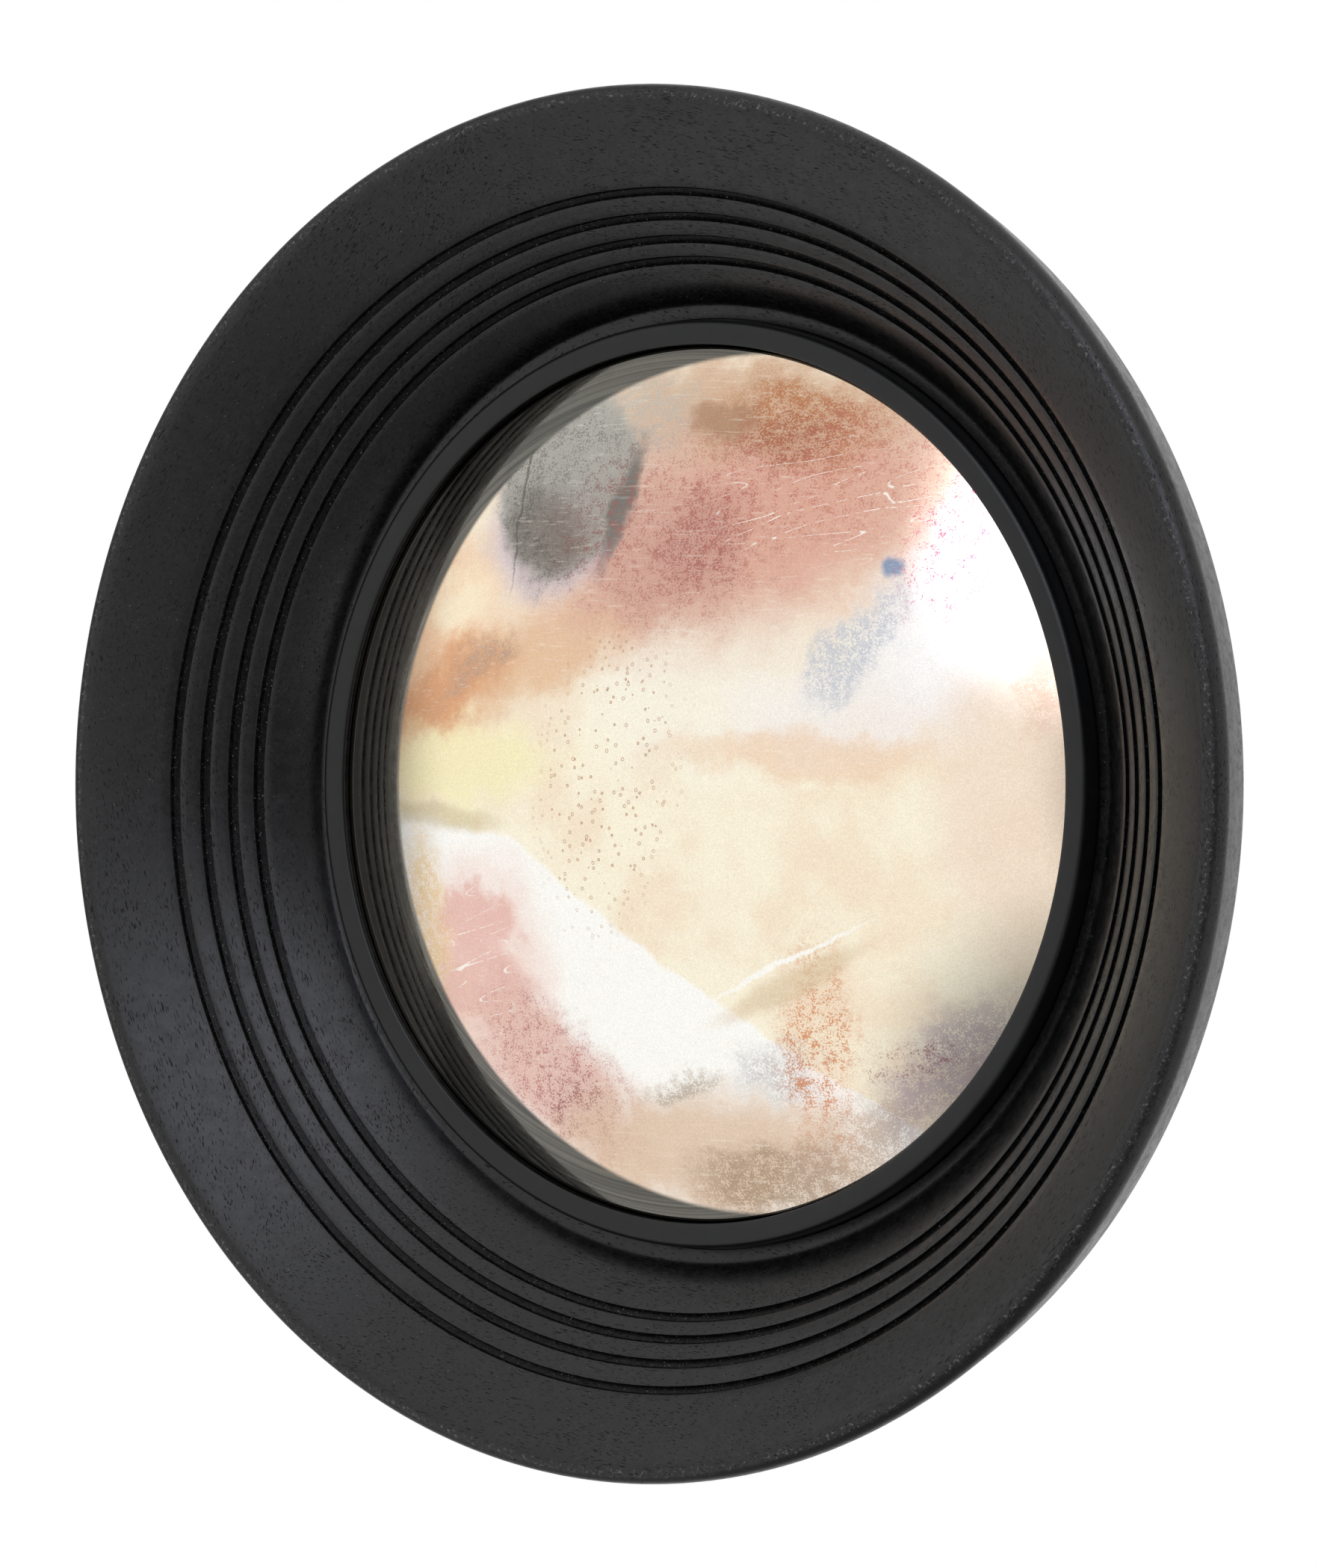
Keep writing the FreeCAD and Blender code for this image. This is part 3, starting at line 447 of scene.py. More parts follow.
silverSettings = {"cream": "FCF3DA", "peach": "F7E5CA", "streak": "FFFAEA", "roughness": 0.04,
                  # how far the stains' edges wander, by a wide and a tight noise: width, reach and detail
                  "wideWander": (15.0, 22, 4.0), "tightWander": (2.2, 4, 3.0),
                  # the specks are grit gathered in clusters: (width, share)
                  "grit": (0.55, 0.65), "cluster": (3.0, 0.35), "cloud": 28.0, "grain": 0.5,
                  "ripple": 9.0, "rippleDepth": 0.02, "coatRoughness": 0.03,
                  "dotColour": "B98E6C", "dotCentre": (-14, 2), "dotSize": (24, 44), "dotApart": 2.6,
                  "dotTurn": 8, "dotAmount": 0.8,
                  # how much of a speckled stain shows between its specks
                  "underlay": 0.4,
                  "cracks": {"regions": (((50, 80), (34, 17)), ((-66, -50), (12, 22))), "turn": -12,
                             "length": 34, "apart": 4.5, "width": 0.012, "amount": 0.85,
                             "colour": "FFFCF2"},
                  # painted reflection of a bright surface's corner; each line by a point on it, its slope
                  # and the softness of its edge
                  "paintedCornerReflection": {"lines": (((-52, -15), -0.16, 1.2), ((-52, -15), -0.66, 1.2)),
                            "amount": 0.9, "colour": "FFFEFA"},
                  # painted reflection of the slip ring's lip: dark beside the slip ring, outside an
                  # off-centre circle
                  "paintedLipReflection": {"at": (23.8, 0), "radius": 122.8, "soft": 0.014, "amount": 0.97,
                             "left": ("807c72", "a29c90"), "rest": ("2e2e27", "5e5c52"),
                             "from": -98, "to": -84, "streak": 0.9}}


def ellipseMask(tree, place, at, size, turn, soft):
    # 1 inside and 0 outside, a half on the ellipse itself; the distance along Y doesn't count
    local = addNode(tree, "Mapping", {"Vector": place, "Location": (at[0], 0, at[1]),
                                      "Rotation": (0, math.radians(turn), 0),
                                      "Scale": (size[0], 100000, size[1])},
                    vector_type="TEXTURE").outputs[0]
    distance = addNode(tree, "VectorMath", {0: local}, operation="LENGTH").outputs["Value"]
    return fade(tree, distance, 1.0 + soft / 2, 1.0 - soft / 2)


def makeSilver():
    material, tree, shader = newMaterial("antiquedSilver", Metallic=1.0)
    place = millimetres(tree)
    centred = (0.5, 0.5, 0.5)
    wander = []
    for width, reach, detail in (silverSettings["wideWander"], silverSettings["tightWander"]):
        around = vectorMaths(tree, "SUBTRACT", noise(tree, place, width, detail, 0.6, colour=True), centred)
        wander.append(stretched(tree, around, (reach, 0, reach)))
    rough = vectorMaths(tree, "ADD", *wander)
    warps = {}
    for ragged in sorted({row["ragged"] for row in stainsAndReflections}):
        warps[ragged] = vectorMaths(tree, "ADD", place, stretched(tree, rough, (ragged,) * 3))
    gritWidth, gritShare = silverSettings["grit"]
    clusterWidth, clusterShare = silverSettings["cluster"]
    grit = noise(tree, place, gritWidth, 2.0, 0.6)
    cluster = noise(tree, place, clusterWidth, 2.0, 0.5)
    speckles = maths(tree, "ADD", maths(tree, "MULTIPLY", grit, gritShare),
                     maths(tree, "MULTIPLY", cluster, clusterShare))

    base = blendColour(tree, fade(tree, noise(tree, place, silverSettings["cloud"], 5.0, 0.6), 0.38, 0.62),
                       paint(silverSettings["cream"]), paint(silverSettings["peach"]))
    # a painted reflection of a bright surface, paler below a bent line (its corner), at the lower left
    paintedCornerReflection = silverSettings["paintedCornerReflection"]
    parts = addNode(tree, "SeparateXYZ", {0: warps[0.3]})
    cornerReflectionMask = None
    for (x, z), slope, edge in paintedCornerReflection["lines"]:
        line = maths(tree, "MULTIPLY", maths(tree, "SUBTRACT", parts.outputs[0], x), slope)
        below = maths(tree, "SUBTRACT", maths(tree, "ADD", line, z), parts.outputs[2])
        side = fade(tree, below, -edge, edge)
        cornerReflectionMask = side if cornerReflectionMask is None else maths(tree, "MULTIPLY", cornerReflectionMask, side)
    colour = blendColour(tree, maths(tree, "MULTIPLY", cornerReflectionMask, paintedCornerReflection["amount"]), base,
                         paint(paintedCornerReflection["colour"]))
    for row in stainsAndReflections:
        mask = ellipseMask(tree, warps[row["ragged"]], row["at"], row["size"], row["turn"], row["soft"])
        if row["speckle"]:
            # noise hardly leaves 0.35 to 0.65, so the bare share is stretched over that
            bare = 0.38 + 0.24 * row["speckle"]
            between = silverSettings["underlay"] * (1 - row["speckle"])
            specks = fade(tree, speckles, bare - 0.03, bare + 0.04, between)
            mask = maths(tree, "MULTIPLY", mask, specks)
        mask = maths(tree, "MULTIPLY", mask, row["amount"])
        colour = blendColour(tree, mask, colour, paint(row["colour"]))

    # hairline cracks, where a drawn-out noise passes its middle
    crack = silverSettings["cracks"]
    tilted = addNode(tree, "Mapping", {"Vector": place, "Rotation": (0, math.radians(crack["turn"]), 0),
                                       "Scale": (crack["length"], 1000, crack["apart"])},
                     vector_type="TEXTURE").outputs[0]
    middle = maths(tree, "ABSOLUTE", maths(tree, "SUBTRACT", noise(tree, tilted, 1.0, 0.0), 0.5))
    broken = None
    for at, size in crack["regions"]:
        region = ellipseMask(tree, warps[0.3], at, size, 0, 0.6)
        broken = region if broken is None else maths(tree, "MAXIMUM", broken, region)
    broken = maths(tree, "MULTIPLY", broken, fade(tree, cluster, 0.44, 0.52))
    lines = maths(tree, "MULTIPLY", fade(tree, middle, crack["width"], crack["width"] / 3), broken)
    colour = blendColour(tree, maths(tree, "MULTIPLY", lines, crack["amount"]), colour,
                         paint(crack["colour"]))

    # small ring-shaped spots, left of the middle
    spots = addNode(tree, "TexVoronoi", {"Vector": place, "Scale": 1 / silverSettings["dotApart"],
                                         "Randomness": 1.0},
                    feature="F1", voronoi_dimensions="3D").outputs["Distance"]
    ring = maths(tree, "MULTIPLY", fade(tree, spots, 0.10, 0.16), fade(tree, spots, 0.26, 0.19))
    spotted = ellipseMask(tree, warps[1.0], silverSettings["dotCentre"], silverSettings["dotSize"],
                          silverSettings["dotTurn"], 0.7)
    spotted = maths(tree, "MULTIPLY", spotted, silverSettings["dotAmount"])
    colour = blendColour(tree, maths(tree, "MULTIPLY", ring, spotted), colour,
                         paint(silverSettings["dotColour"]))

    # fine level streaks
    streaks = noise(tree, stretched(tree, place, (1 / 16, 1.0, 1 / 0.7)), 1.0, 3.0, 0.6)
    colour = blendColour(tree, fade(tree, streaks, 0.56, 0.72, 0.0, 0.24), colour,
                         paint(silverSettings["streak"]))

    # painted reflection of the slip ring's lip: a dark band streaked round the edge
    paintedLipReflection = silverSettings["paintedLipReflection"]
    rings = addNode(tree, "VectorMath", {0: stretched(tree, place, (1, 0, 1))},
                    operation="LENGTH").outputs["Value"]
    around = addNode(tree, "CombineXYZ", {0: maths(tree, "DIVIDE", rings, paintedLipReflection["streak"])}).outputs[0]
    around = vectorMaths(tree, "ADD", around, stretched(tree, place, (0.015, 0, 0.015)))
    streaked = fade(tree, noise(tree, around, 1.0, 2.0, 0.6), 0.35, 0.65)
    across = fade(tree, parts.outputs[0], paintedLipReflection["from"], paintedLipReflection["to"])
    dark = blendColour(tree, across, paint(paintedLipReflection["left"][0]), paint(paintedLipReflection["rest"][0]))
    light = blendColour(tree, across, paint(paintedLipReflection["left"][1]), paint(paintedLipReflection["rest"][1]))
    clear = ellipseMask(tree, place, paintedLipReflection["at"], (paintedLipReflection["radius"],) * 2, 0, paintedLipReflection["soft"])
    outside = maths(tree, "MULTIPLY", maths(tree, "SUBTRACT", 1.0, clear), paintedLipReflection["amount"])
    colour = blendColour(tree, outside, colour, blendColour(tree, streaked, dark, light))

    # an even grain over everything
    grain = fade(tree, noise(tree, place, silverSettings["grain"], 2.0, 0.6), 0.3, 0.7, 0.90, 1.04)
    grey = addNode(tree, "CombineColor", {0: grain, 1: grain, 2: grain}).outputs[0]
    colour = blendColour(tree, 1.0, colour, grey, "MULTIPLY")
    wear(tree, shader, "Base Color", colour)
    wear(tree, shader, "Roughness", fade(tree, speckles, 0.4, 0.65, silverSettings["roughness"],
                                         silverSettings["roughness"] + 0.10))
    ripple = noise(tree, place, silverSettings["ripple"], 2.0)
    bump(tree, shader, ripple, silverSettings["rippleDepth"], 0.4)
    shader.inputs["Coat Weight"].default_value = 1.0
    shader.inputs["Coat Roughness"].default_value = silverSettings["coatRoughness"]
    return material


def makePlain(name, dark, light, size, roughness, relief, metallic=0.0, stretch=(1, 1, 1)):
    # two colours clouded together, with a fine relief of the same size
    material, tree, shader = newMaterial(name, Metallic=metallic)
    place = stretched(tree, millimetres(tree), stretch)
    cloud = noise(tree, place, size, 6.0, 0.65)
    fine = noise(tree, place, size / 6, 3.0, 0.6)
    both = maths(tree, "ADD", maths(tree, "MULTIPLY", cloud, 0.6), maths(tree, "MULTIPLY", fine, 0.4))
    wear(tree, shader, "Base Color", blendColour(tree, fade(tree, both, 0.36, 0.64), paint(dark),
                                                 paint(light)))
    wear(tree, shader, "Roughness", fade(tree, fine, 0.3, 0.7, roughness - 0.07, roughness + 0.07))
    bump(tree, shader, both, relief, 0.8)
    return material


ebonised = makeLacquer()
slipSatin = makeSlipFinish()
silver = makeSilver()
felt = makePlain("greyFelt", "2b2b2c", "4a4a49", 2.4, 0.95, 0.25)
foamFelt = makePlain("charcoalFoam", "1c1c1d", "333334", 1.5, 0.95, 0.3)
hardboard = makePlain("hardboard", "5a3a22", "8a6440", 3.2, 0.75, 0.12, stretch=(0.55, 1, 1.4))
brass = makePlain("buttonBrass", "8c6a2c", "c8a050", 2.6, 0.34, 0.02, metallic=1.0, stretch=(0.3, 1, 1))
steel = makePlain("screwSteel", "6c6c6e", "a0a0a2", 1.2, 0.36, 0.02, metallic=1.0)
zinc = makePlain("zincPlate", "787c80", "aeb2b6", 4.0, 0.42, 0.03, metallic=1.0)
backPaint = makePlain("glassBackPaint", "3c3a36", "55524c", 6.0, 0.6, 0.08)
print("finishes made")


def finishPiece(piece, material, body, slot, *replaced):
    piece.data.materials.clear()
    piece.data.materials.append(material)
    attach(piece, body)
    if replaced:
        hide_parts(*replaced)


def dressNode(name, material):
    node = nodes[name]
    node.data.materials.clear()
    node.data.materials.append(material)


# dish frame

dish = {"opening": 133.0, "floorOuter": 137.2, "floorLevel": 15.8, "lipBack": 11.8,
        "rebate": 139.0, "recess": 150.0, "ledge": 5.6, "foot": 170.0, "arris": 0.35,
        # how far the face rolls down beside the slip ring, and where that starts
        "roll": 2.2, "rollStart": 149.4,
        "shoulder": 4.5, "faceCurve": 300.0, "faceCentre": (325.4, -217.8), "faceStart": 193.3,
        "sideTaper": 20.0, "sideLength": 16.0, "steps": 400,
        "grooves": (151.1, 157.2, 163.9, 171.2), "grooveHalf": 1.2, "grooveDepth": 1.5,
        # share of the half width that has the duller finish
        "grooveMark": 0.97,
        # share of the half width, share of the depth
        "grooveSection": ((1.2, 0.0), (1.04, 0.06), (0.95, 0.35), (0.9, 0.75), (0.78, 0.95), (0.3, 1.0)),
        # the grooves were turned a little off centre: radius and drop
        "drops": ((137.2, 0.0), (145.0, 1.2), (151.1, 1.4), (157.2, 1.5), (163.9, 1.75), (171.2, 2.0),
                  (182.0, 1.4), (193.3, 0.0)),
        # the inner edge's easing, and how far above the lip's back the face's points start
        "innerEase": 1.2, "footEase": 0.8, "faceAbove": 0.5,
        "plate": {"width": 38.2, "height": 16.7, "corner": 3.5, "depth": 2.2, "z": 160.0},
        "headRoom": {"radius": 5.45, "low": 158.0, "high": 164.0, "start": 0.5, "depth": 9.2},
        "cutStart": -1.0, "sharp": 28}


def faceLevel(radius):
    across = radius - dish["faceCentre"][0]
    level = dish["faceCentre"][1] + math.sqrt(dish["faceCurve"] ** 2 - across ** 2)
    share = max(0.0, dish["rollStart"] - radius) / (dish["rollStart"] - dish["floorOuter"])
    return level - dish["roll"] * share ** 2


def faceDrop(radius):
    rows = dish["drops"]
    for (nearer, low), (farther, high) in zip(rows, rows[1:]):
        if nearer <= radius <= farther:
            t = (radius - nearer) / (farther - nearer)
            return low + (high - low) * t
    return 0.0


def facePoints():
    points = []
    inner = dish["floorOuter"]
    for groove in dish["grooves"]:
        section = [(-share, depth) for share, depth in dish["grooveSection"]]
        section += [(share, depth) for share, depth in reversed(dish["grooveSection"])]
        start = groove + section[0][0] * dish["grooveHalf"]
        count = 8 if start < dish["rollStart"] + 1 else 3
        for step in range(1, count):
            radius = inner + (start - inner) * step / count
            points.append((radius, faceLevel(radius)))
        for share, depth in section:
            radius = groove + share * dish["grooveHalf"]
            points.append((radius, faceLevel(radius) - depth * dish["grooveDepth"]))
        inner = groove + section[-1][0] * dish["grooveHalf"]
    for step in range(1, 8):
        radius = inner + (dish["faceStart"] - inner) * step / 8
        points.append((radius, faceLevel(radius)))
    return points


def dishOutline():
    shoulderCentre = (rimRadius - dish["shoulder"], frontOfFrame - dish["shoulder"])
    startAngle = math.degrees(math.atan2(faceLevel(dish["faceStart"]) - shoulderCentre[1],
                                         dish["faceStart"] - shoulderCentre[0]))
    shoulder = arcPoints(shoulderCentre, dish["shoulder"], startAngle, -dish["sideTaper"], 12)
    taper = math.radians(dish["sideTaper"])
    sideEnd = (shoulder[-1][0] - dish["sideLength"] * math.sin(taper),
               shoulder[-1][1] - dish["sideLength"] * math.cos(taper))
    floor = dish["floorLevel"] - dish["roll"]
    corners = [(dish["opening"], floor), (dish["floorOuter"], floor)]
    corners += facePoints() + shoulder
    eases = [dish["arris"], dish["innerEase"]] + [0] * (len(corners) - 2)
    back = [sideEnd, (dish["foot"], 0.0), (dish["recess"], 0.0), (dish["recess"], dish["ledge"]),
            (dish["rebate"], dish["ledge"]), (dish["rebate"], dish["lipBack"]),
            (dish["opening"], dish["lipBack"])]
    eases += [dish["footEase"]] + [dish["arris"]] * 6
    return eased(corners + back, eases)


def markGrooves(piece):
    # the finish is duller where this is 1
    mark = piece.data.attributes.new("groove", "FLOAT", "POINT")
    reach = dish["grooveHalf"] * dish["grooveMark"]
    for vertex in piece.data.vertices:
        radius = math.hypot(vertex.co.x, vertex.co.z) / mm
        nearest = min(abs(radius - groove) for groove in dish["grooves"])
        onFace = -vertex.co.y / mm > dish["lipBack"] + dish["faceAbove"]
        mark.data[vertex.index].value = 1.0 if onFace and nearest < reach else 0.0


def makeDish():
    piece = turned("dishFrame", dishOutline(), dish["steps"])
    markGrooves(piece)
    # eases the grooves off centre, on the face alone
    for vertex in piece.data.vertices:
        radius = math.hypot(vertex.co.x, vertex.co.z) / mm
        if -vertex.co.y / mm > dish["lipBack"] + dish["faceAbove"]:
            vertex.co.z -= faceDrop(radius) * mm
    plate = dish["plate"]
    seat = roundedPlate(plate["width"], plate["height"], plate["corner"], dish["cutStart"],
                        plate["depth"], plate["z"])
    carve(piece, seat)
    space = dish["headRoom"]
    hollow = cylinder(space["radius"], space["start"], space["depth"], 0, space["low"], 32)
    takeOnly(hollow)
    editMode("DESELECT")
    objectMode()
    for vertex in hollow.data.vertices:
        vertex.select = vertex.co.z > (space["low"] + 0.01) * mm
    bpy.ops.object.mode_set(mode="EDIT")
    bpy.ops.transform.translate(value=(0, 0, (space["high"] - space["low"]) * mm))
    objectMode()
    carve(piece, hollow)
    tidyMesh(piece, dish["sharp"])
    return piece


dishFrame = makeDish()
finishPiece(dishFrame, ebonised, "root", "ebonised_wood", "turned_frame")
print("dish frame made,", len(dishFrame.data.polygons), "faces")


# slip ring

slip = {"sight": 125.7, "outer": 132.7, "top": 20.8, "arris": 2.3, "lipUnder": 19.5, "lipRoot": 18.16,
        "pocket": 130.2, "flangeRadius": 138.3, "flangeFront": 11.7, "flangeBack": 8.7, "steps": 320}


def makeSlip():
    outline = [(slip["sight"], slip["top"]), (slip["sight"], slip["lipUnder"]),
               (slip["pocket"], slip["lipRoot"]), (slip["pocket"], slip["flangeBack"]),
               (slip["flangeRadius"], slip["flangeBack"]), (slip["flangeRadius"], slip["flangeFront"]),
               (slip["outer"], slip["flangeFront"]), (slip["outer"], slip["top"])]
    return turned("slipRing", eased(outline, [slip["arris"], 0.2, 0, 0.2, 0.3, 0.3, 0, slip["arris"]], 5),
                  slip["steps"])


slipRing = makeSlip()
finishPiece(slipRing, slipSatin, "root", "satin_slip", "slip_ring")
print("slip ring made")


# domed glass

glass = {"curve": 280.0, "apex": 48.4, "thickness": 2.5, "edge": 129.1, "arris": 0.3, "segments": 256,
         "rings": 220, "sharp": 50}


def makeGlass():
    # a cap cut from a sphere, thickened and ground at its edge
    bpy.ops.object.select_all(action="DESELECT")
    centreLevel = glass["apex"] - glass["curve"]
    bpy.ops.mesh.primitive_uv_sphere_add(segments=glass["segments"], ring_count=glass["rings"],
                                         radius=glass["curve"] * mm,
                                         location=(0, -centreLevel * mm, 0), rotation=(math.pi / 2, 0, 0))
    piece = bpy.context.object
    piece.name = "domedGlass"
    settle(piece)
    edgeLevel = centreLevel + math.sqrt(glass["curve"] ** 2 - glass["edge"] ** 2)
    editMode()
    bpy.ops.mesh.bisect(plane_co=(0, -edgeLevel * mm, 0), plane_no=(0, 1, 0), clear_outer=True)
    objectMode()
    tidyMesh(piece)
    applyModifier(piece, "SOLIDIFY", thickness=glass["thickness"] * mm, offset=-1.0, use_rim=True)
    applyModifier(piece, "BEVEL", width=glass["arris"] * mm, segments=2, limit_method="ANGLE",
                  angle_limit=math.radians(glass["sharp"]))
    tidyMesh(piece, 25)
    return piece


domedGlass = makeGlass()
finishPiece(domedGlass, silver, "root", "antiqued_mirror", "convex_glass")
domedGlass.data.materials.append(backPaint)
for face in domedGlass.data.polygons:
    if face.normal.y > 0.3:
        face.material_index = 1
print("glass made,", len(domedGlass.data.polygons), "faces")


# turn buttons and their screws

button = {"count": 6, "pivot": 144.5, "tip": 135.0, "endRadius": 4.5, "low": 3.9, "high": 5.4,
          "hole": 1.8, "arris": 0.3, "tipTaper": 0.86, "sharp": 40}


def makeButton():
    # a disc whose inner half is drawn out to the tip
    piece = cylinder(button["endRadius"], button["low"], button["high"], button["pivot"], 0, 48)
    reach = (button["pivot"] - button["tip"]) * mm
    for vertex in piece.data.vertices:
        if vertex.co.x < (button["pivot"] - 0.01) * mm:
            vertex.co.x -= reach
            vertex.co.z *= button["tipTaper"]
    carve(piece, cylinder(button["hole"], button["low"] - 1, button["high"] + 1, button["pivot"], 0, 32))
    applyModifier(piece, "BEVEL", width=button["arris"] * mm, segments=2, limit_method="ANGLE",
                  angle_limit=math.radians(button["sharp"]))
    tidyMesh(piece, 40)
    return piece


def placedRound(piece, angle):
    # turned round the Y axis, from +X towards +Z
    piece.rotation_euler = (0, -math.radians(angle), 0)
    settle(piece)


firstButton = makeButton()
for number in range(1, button["count"] + 1):
    twin = firstButton if number == button["count"] else copyOf(firstButton, "turnButton")
    twin.name = "turnButton%d" % number
    placedRound(twin, (number - 1) * 360 / button["count"])
    body = "turn_button_%d" % number
    finishPiece(twin, brass, body, "button_brass", body)
print("turn buttons made")

screw = {"pivot": 144.5, "head": 3.4, "rimLevel": 3.2, "topLevel": 2.0, "underLevel": 3.8,
         "shank": 1.75, "end": 13.8, "point": 3, "tip": 0.25, "slotWidth": 0.9, "slotDepth": 0.8,
         # how each screw's slot lies, in degrees
         "slotTurn": 25, "slotStep": 47}


def makeScrew():
    dome = [(screw["head"] * math.sin(math.radians(a)),
             screw["rimLevel"] - (screw["rimLevel"] - screw["topLevel"]) * math.cos(math.radians(a)))
            for a in (0, 20, 40, 60, 78, 90)]
    outline = dome + [(screw["head"], screw["underLevel"]), (screw["shank"], screw["underLevel"]),
                      (screw["shank"], screw["end"] - screw["point"]), (screw["tip"], screw["end"]),
                      (0.0, screw["end"])]
    piece = turned("screw", outline, 32)
    slot = block(screw["head"] * 3, screw["slotWidth"], screw["topLevel"] - 1,
                 screw["topLevel"] + screw["slotDepth"])
    carve(piece, slot)
    tidyMesh(piece, 35)
    return piece


firstScrew = makeScrew()
screws = []
for number in range(button["count"]):
    twin = copyOf(firstScrew, "buttonScrew")
    twin.rotation_euler = (0, math.radians(screw["slotTurn"] + screw["slotStep"] * number), 0)
    settle(twin)
    twin.location = (screw["pivot"] * mm, 0, 0)
    settle(twin)
    placedRound(twin, number * 360 / button["count"])
    screws.append(twin)
bpy.data.objects.remove(firstScrew)
buttonScrews = join("turnButtonScrews", screws)
finishPiece(buttonScrews, steel, "root", "steel", "turn_button_screws")
print("screws made")


# keyhole plate and its screws

keyhole = {"width": 38.0, "height": 16.5, "corner": 3.5, "low": 0.1, "high": 2.1, "z": 160.0,
           "round": 4.25, "roundZ": 158.0, "slotRadius": 2.2, "slotZ": 164.0, "arris": 0.25,
           "screwX": 14.0, "screwHead": 2.8, "screwSink": 1.3, "screwShank": 1.5, "screwEnd": 11.1,
           "screwPoint": 3, "screwTip": 0.2, "screwTurn": 33, "slotWidth": 0.8, "slotDepth": 0.6,
           "play": 0.1, "past": 1.0, "headEdge": 0.2,
           "headSunk": 0.02, "cut": (-1, 4), "sharp": 50}


def countersink(x):
    # a cone for the screw's head and a hole for its shank
    low, high, past = keyhole["low"], keyhole["high"], keyhole["past"]
    head, shank = keyhole["screwHead"] + keyhole["play"], keyhole["screwShank"] + keyhole["play"]
    outline = [(0, low - past), (head + past, low - past), (head, low),
               (shank, low + keyhole["screwSink"]), (shank, high + past), (0, high + past)]
    piece = turned("sink", outline, 32)
    piece.location = (x * mm, 0, keyhole["z"] * mm)
    settle(piece)
    return piece


def makePlate():
    piece = roundedPlate(keyhole["width"], keyhole["height"], keyhole["corner"], keyhole["low"],
                         keyhole["high"], keyhole["z"])
    carve(piece, cylinder(keyhole["round"], *keyhole["cut"], 0, keyhole["roundZ"], 48))
    slotTop = cylinder(keyhole["slotRadius"], *keyhole["cut"], 0, keyhole["roundZ"], 32)
    for vertex in slotTop.data.vertices:
        if vertex.co.z > (keyhole["roundZ"] + 0.01) * mm:
            vertex.co.z += (keyhole["slotZ"] - keyhole["roundZ"]) * mm
    carve(piece, slotTop)
    for side in (-1, 1):
        carve(piece, countersink(side * keyhole["screwX"]))
    applyModifier(piece, "BEVEL", width=keyhole["arris"] * mm, segments=2, limit_method="ANGLE",
                  angle_limit=math.radians(keyhole["sharp"]))
    tidyMesh(piece, 35)
    piece.name = "keyholePlate"
    return piece


def makePlateScrews():
    low, head = keyhole["low"], keyhole["screwHead"]
    top = low + keyhole["headSunk"]
    pieces = []
    for side in (-1, 1):
        outline = [(0, top), (head - keyhole["headEdge"], top), (head, low + keyhole["play"]),
                   (keyhole["screwShank"], low + keyhole["screwSink"]),
                   (keyhole["screwShank"], keyhole["screwEnd"] - keyhole["screwPoint"]),
                   (keyhole["screwTip"], keyhole["screwEnd"]), (0, keyhole["screwEnd"])]
        piece = turned("plateScrew", outline, 32)
        carve(piece, block(head * 3, keyhole["slotWidth"], low - keyhole["past"],
                           low + keyhole["slotDepth"]))
        piece.rotation_euler = (0, math.radians(side * keyhole["screwTurn"]), 0)
        settle(piece)
        piece.location = (side * keyhole["screwX"] * mm, 0, keyhole["z"] * mm)
        settle(piece)
        pieces.append(piece)
    screwsPiece = join("keyholeScrews", pieces)
    tidyMesh(screwsPiece, 35)
    return screwsPiece


finishPiece(makePlate(), zinc, "root", "zinc_plate", "keyhole_plate")
finishPiece(makePlateScrews(), steel, "root", "steel", "keyhole_screws")
print("keyhole plate made")

# pieces that stay as the CAD has them
dressNode("glass_seat_tape", felt)
dressNode("foam_ring", foamFelt)
dressNode("back_board", hardboard)

# brads that pin the slip ring's flange
brad = {"count": 8, "radius": 0.6, "circle": 135.5, "low": 8.75, "high": 13.2}
brads = []
for number in range(brad["count"]):
    piece = cylinder(brad["radius"], brad["low"], brad["high"], brad["circle"], 0, 16)
    placedRound(piece, number * 360 / brad["count"])
    brads.append(piece)
slipBrads = join("slipBrads", brads)
tidyMesh(slipBrads, 35)
finishPiece(slipBrads, steel, "root", "steel", "slip_brads")


# room: floor, light and camera

# the floor's size and height are in metres
room = {"floorSize": 12.0, "floorHeight": -0.75, "floorDark": "e5e3df", "floorLight": "eae8e4"}


def makeFloor():
    bpy.ops.object.select_all(action="DESELECT")
    bpy.ops.mesh.primitive_plane_add(size=room["floorSize"], location=(0, 0, room["floorHeight"]))
    floor = bpy.context.object
    floor.name = "floor"
    settle(floor)
    floor.data.materials.append(makePlain("paleFloor", room["floorDark"], room["floorLight"], 90, 0.8,
                                          0.2))
    # the studio alone shows in the glass
    floor.visible_glossy = False


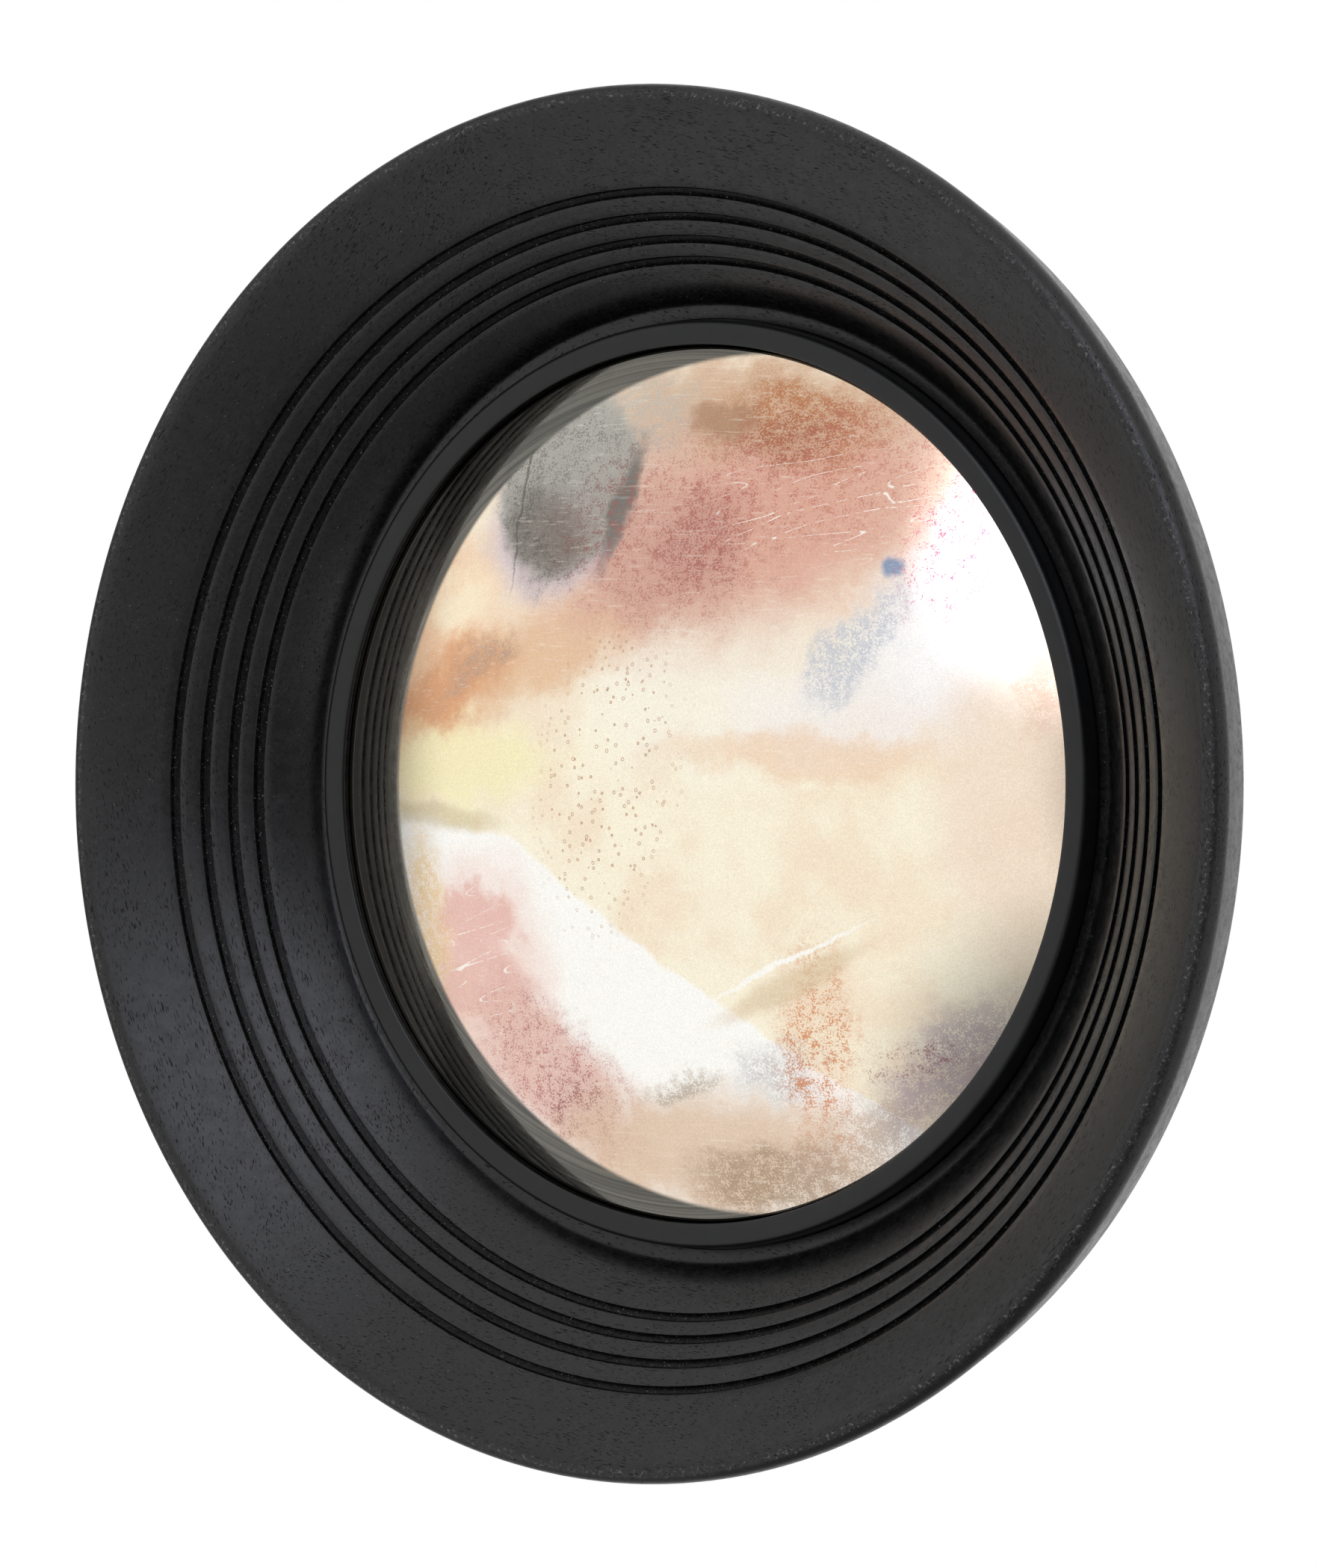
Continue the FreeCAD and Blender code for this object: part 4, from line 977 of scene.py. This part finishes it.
# directions are (azimuth, elevation); reach is the angle at which a patch of light has faded out
studio = {"white": (1.0, 1.0, 1.0), "strength": 1.0,
          "patches": [
              {"towards": (42, 0), "core": 12, "reach": 28, "colour": (0.18, 0.18, 0.19)},
              {"towards": (24, -40), "core": 10, "reach": 32, "colour": (0.33, 0.33, 0.33)},
              {"towards": (-102, 0), "core": 14, "reach": 36, "colour": (0.26, 0.25, 0.23)},
              {"towards": (-106, 38), "core": 12, "reach": 32, "colour": (0.4, 0.4, 0.39)},
              {"towards": (-106, -36), "core": 12, "reach": 32, "colour": (0.42, 0.42, 0.42)},
              {"towards": (0, -90), "core": 22, "reach": 44, "colour": (0.3, 0.3, 0.3)},
              {"towards": (24, 31), "core": 8, "reach": 27, "colour": (2.4, 2.45, 2.75)},
          ]}


def direction(azimuth, elevation):
    a, e = math.radians(azimuth), math.radians(elevation)
    return (math.sin(a) * math.cos(e), -math.cos(a) * math.cos(e), math.sin(e))


def makeStudio():
    world = bpy.data.worlds.new("softStudio")
    bpy.context.scene.world = world
    world.use_nodes = True
    tree = world.node_tree
    tree.nodes.clear()
    way = addNode(tree, "TexCoord", {}).outputs["Generated"]
    colour = studio["white"] + (1.0,)
    for patch in studio["patches"]:
        facing = addNode(tree, "VectorMath", {0: way, 1: direction(*patch["towards"])},
                         operation="DOT_PRODUCT").outputs["Value"]
        amount = fade(tree, facing, math.cos(math.radians(patch["reach"])),
                      math.cos(math.radians(patch["core"])))
        colour = blendColour(tree, amount, colour, patch["colour"] + (1.0,))
    light = addNode(tree, "Background", {"Color": colour, "Strength": studio["strength"]})
    backdrop = addNode(tree, "Background", {"Color": (1, 1, 1, 1), "Strength": 1.0})
    seen = addNode(tree, "LightPath", {}).outputs["Is Camera Ray"]
    both = addNode(tree, "MixShader", {0: seen, 1: light.outputs[0], 2: backdrop.outputs[0]})
    addNode(tree, "OutputWorld", {0: both.outputs[0]})
    bpy.context.scene.view_settings.view_transform = "Standard"


# the distance is in metres
cameraSettings = {"azimuth": 34.8, "distance": 12.0, "aimLevel": 41.8, "viewHeight": 447.5,
                  "sensor": 36.0}


def makeCamera():
    aim = (0.0, -cameraSettings["aimLevel"] * mm, 0.0)
    way = direction(cameraSettings["azimuth"], 0)
    distance = cameraSettings["distance"]
    bpy.ops.object.camera_add(location=[a + distance * w for a, w in zip(aim, way)],
                              rotation=(math.pi / 2, 0, math.radians(cameraSettings["azimuth"])))
    camera = bpy.context.object
    camera.data.sensor_fit = "VERTICAL"
    camera.data.sensor_height = cameraSettings["sensor"]
    camera.data.lens = cameraSettings["sensor"] * distance / (cameraSettings["viewHeight"] * mm)
    camera.data.clip_end = 100
    bpy.context.scene.camera = camera


makeFloor()
makeStudio()
makeCamera()
print("room made")
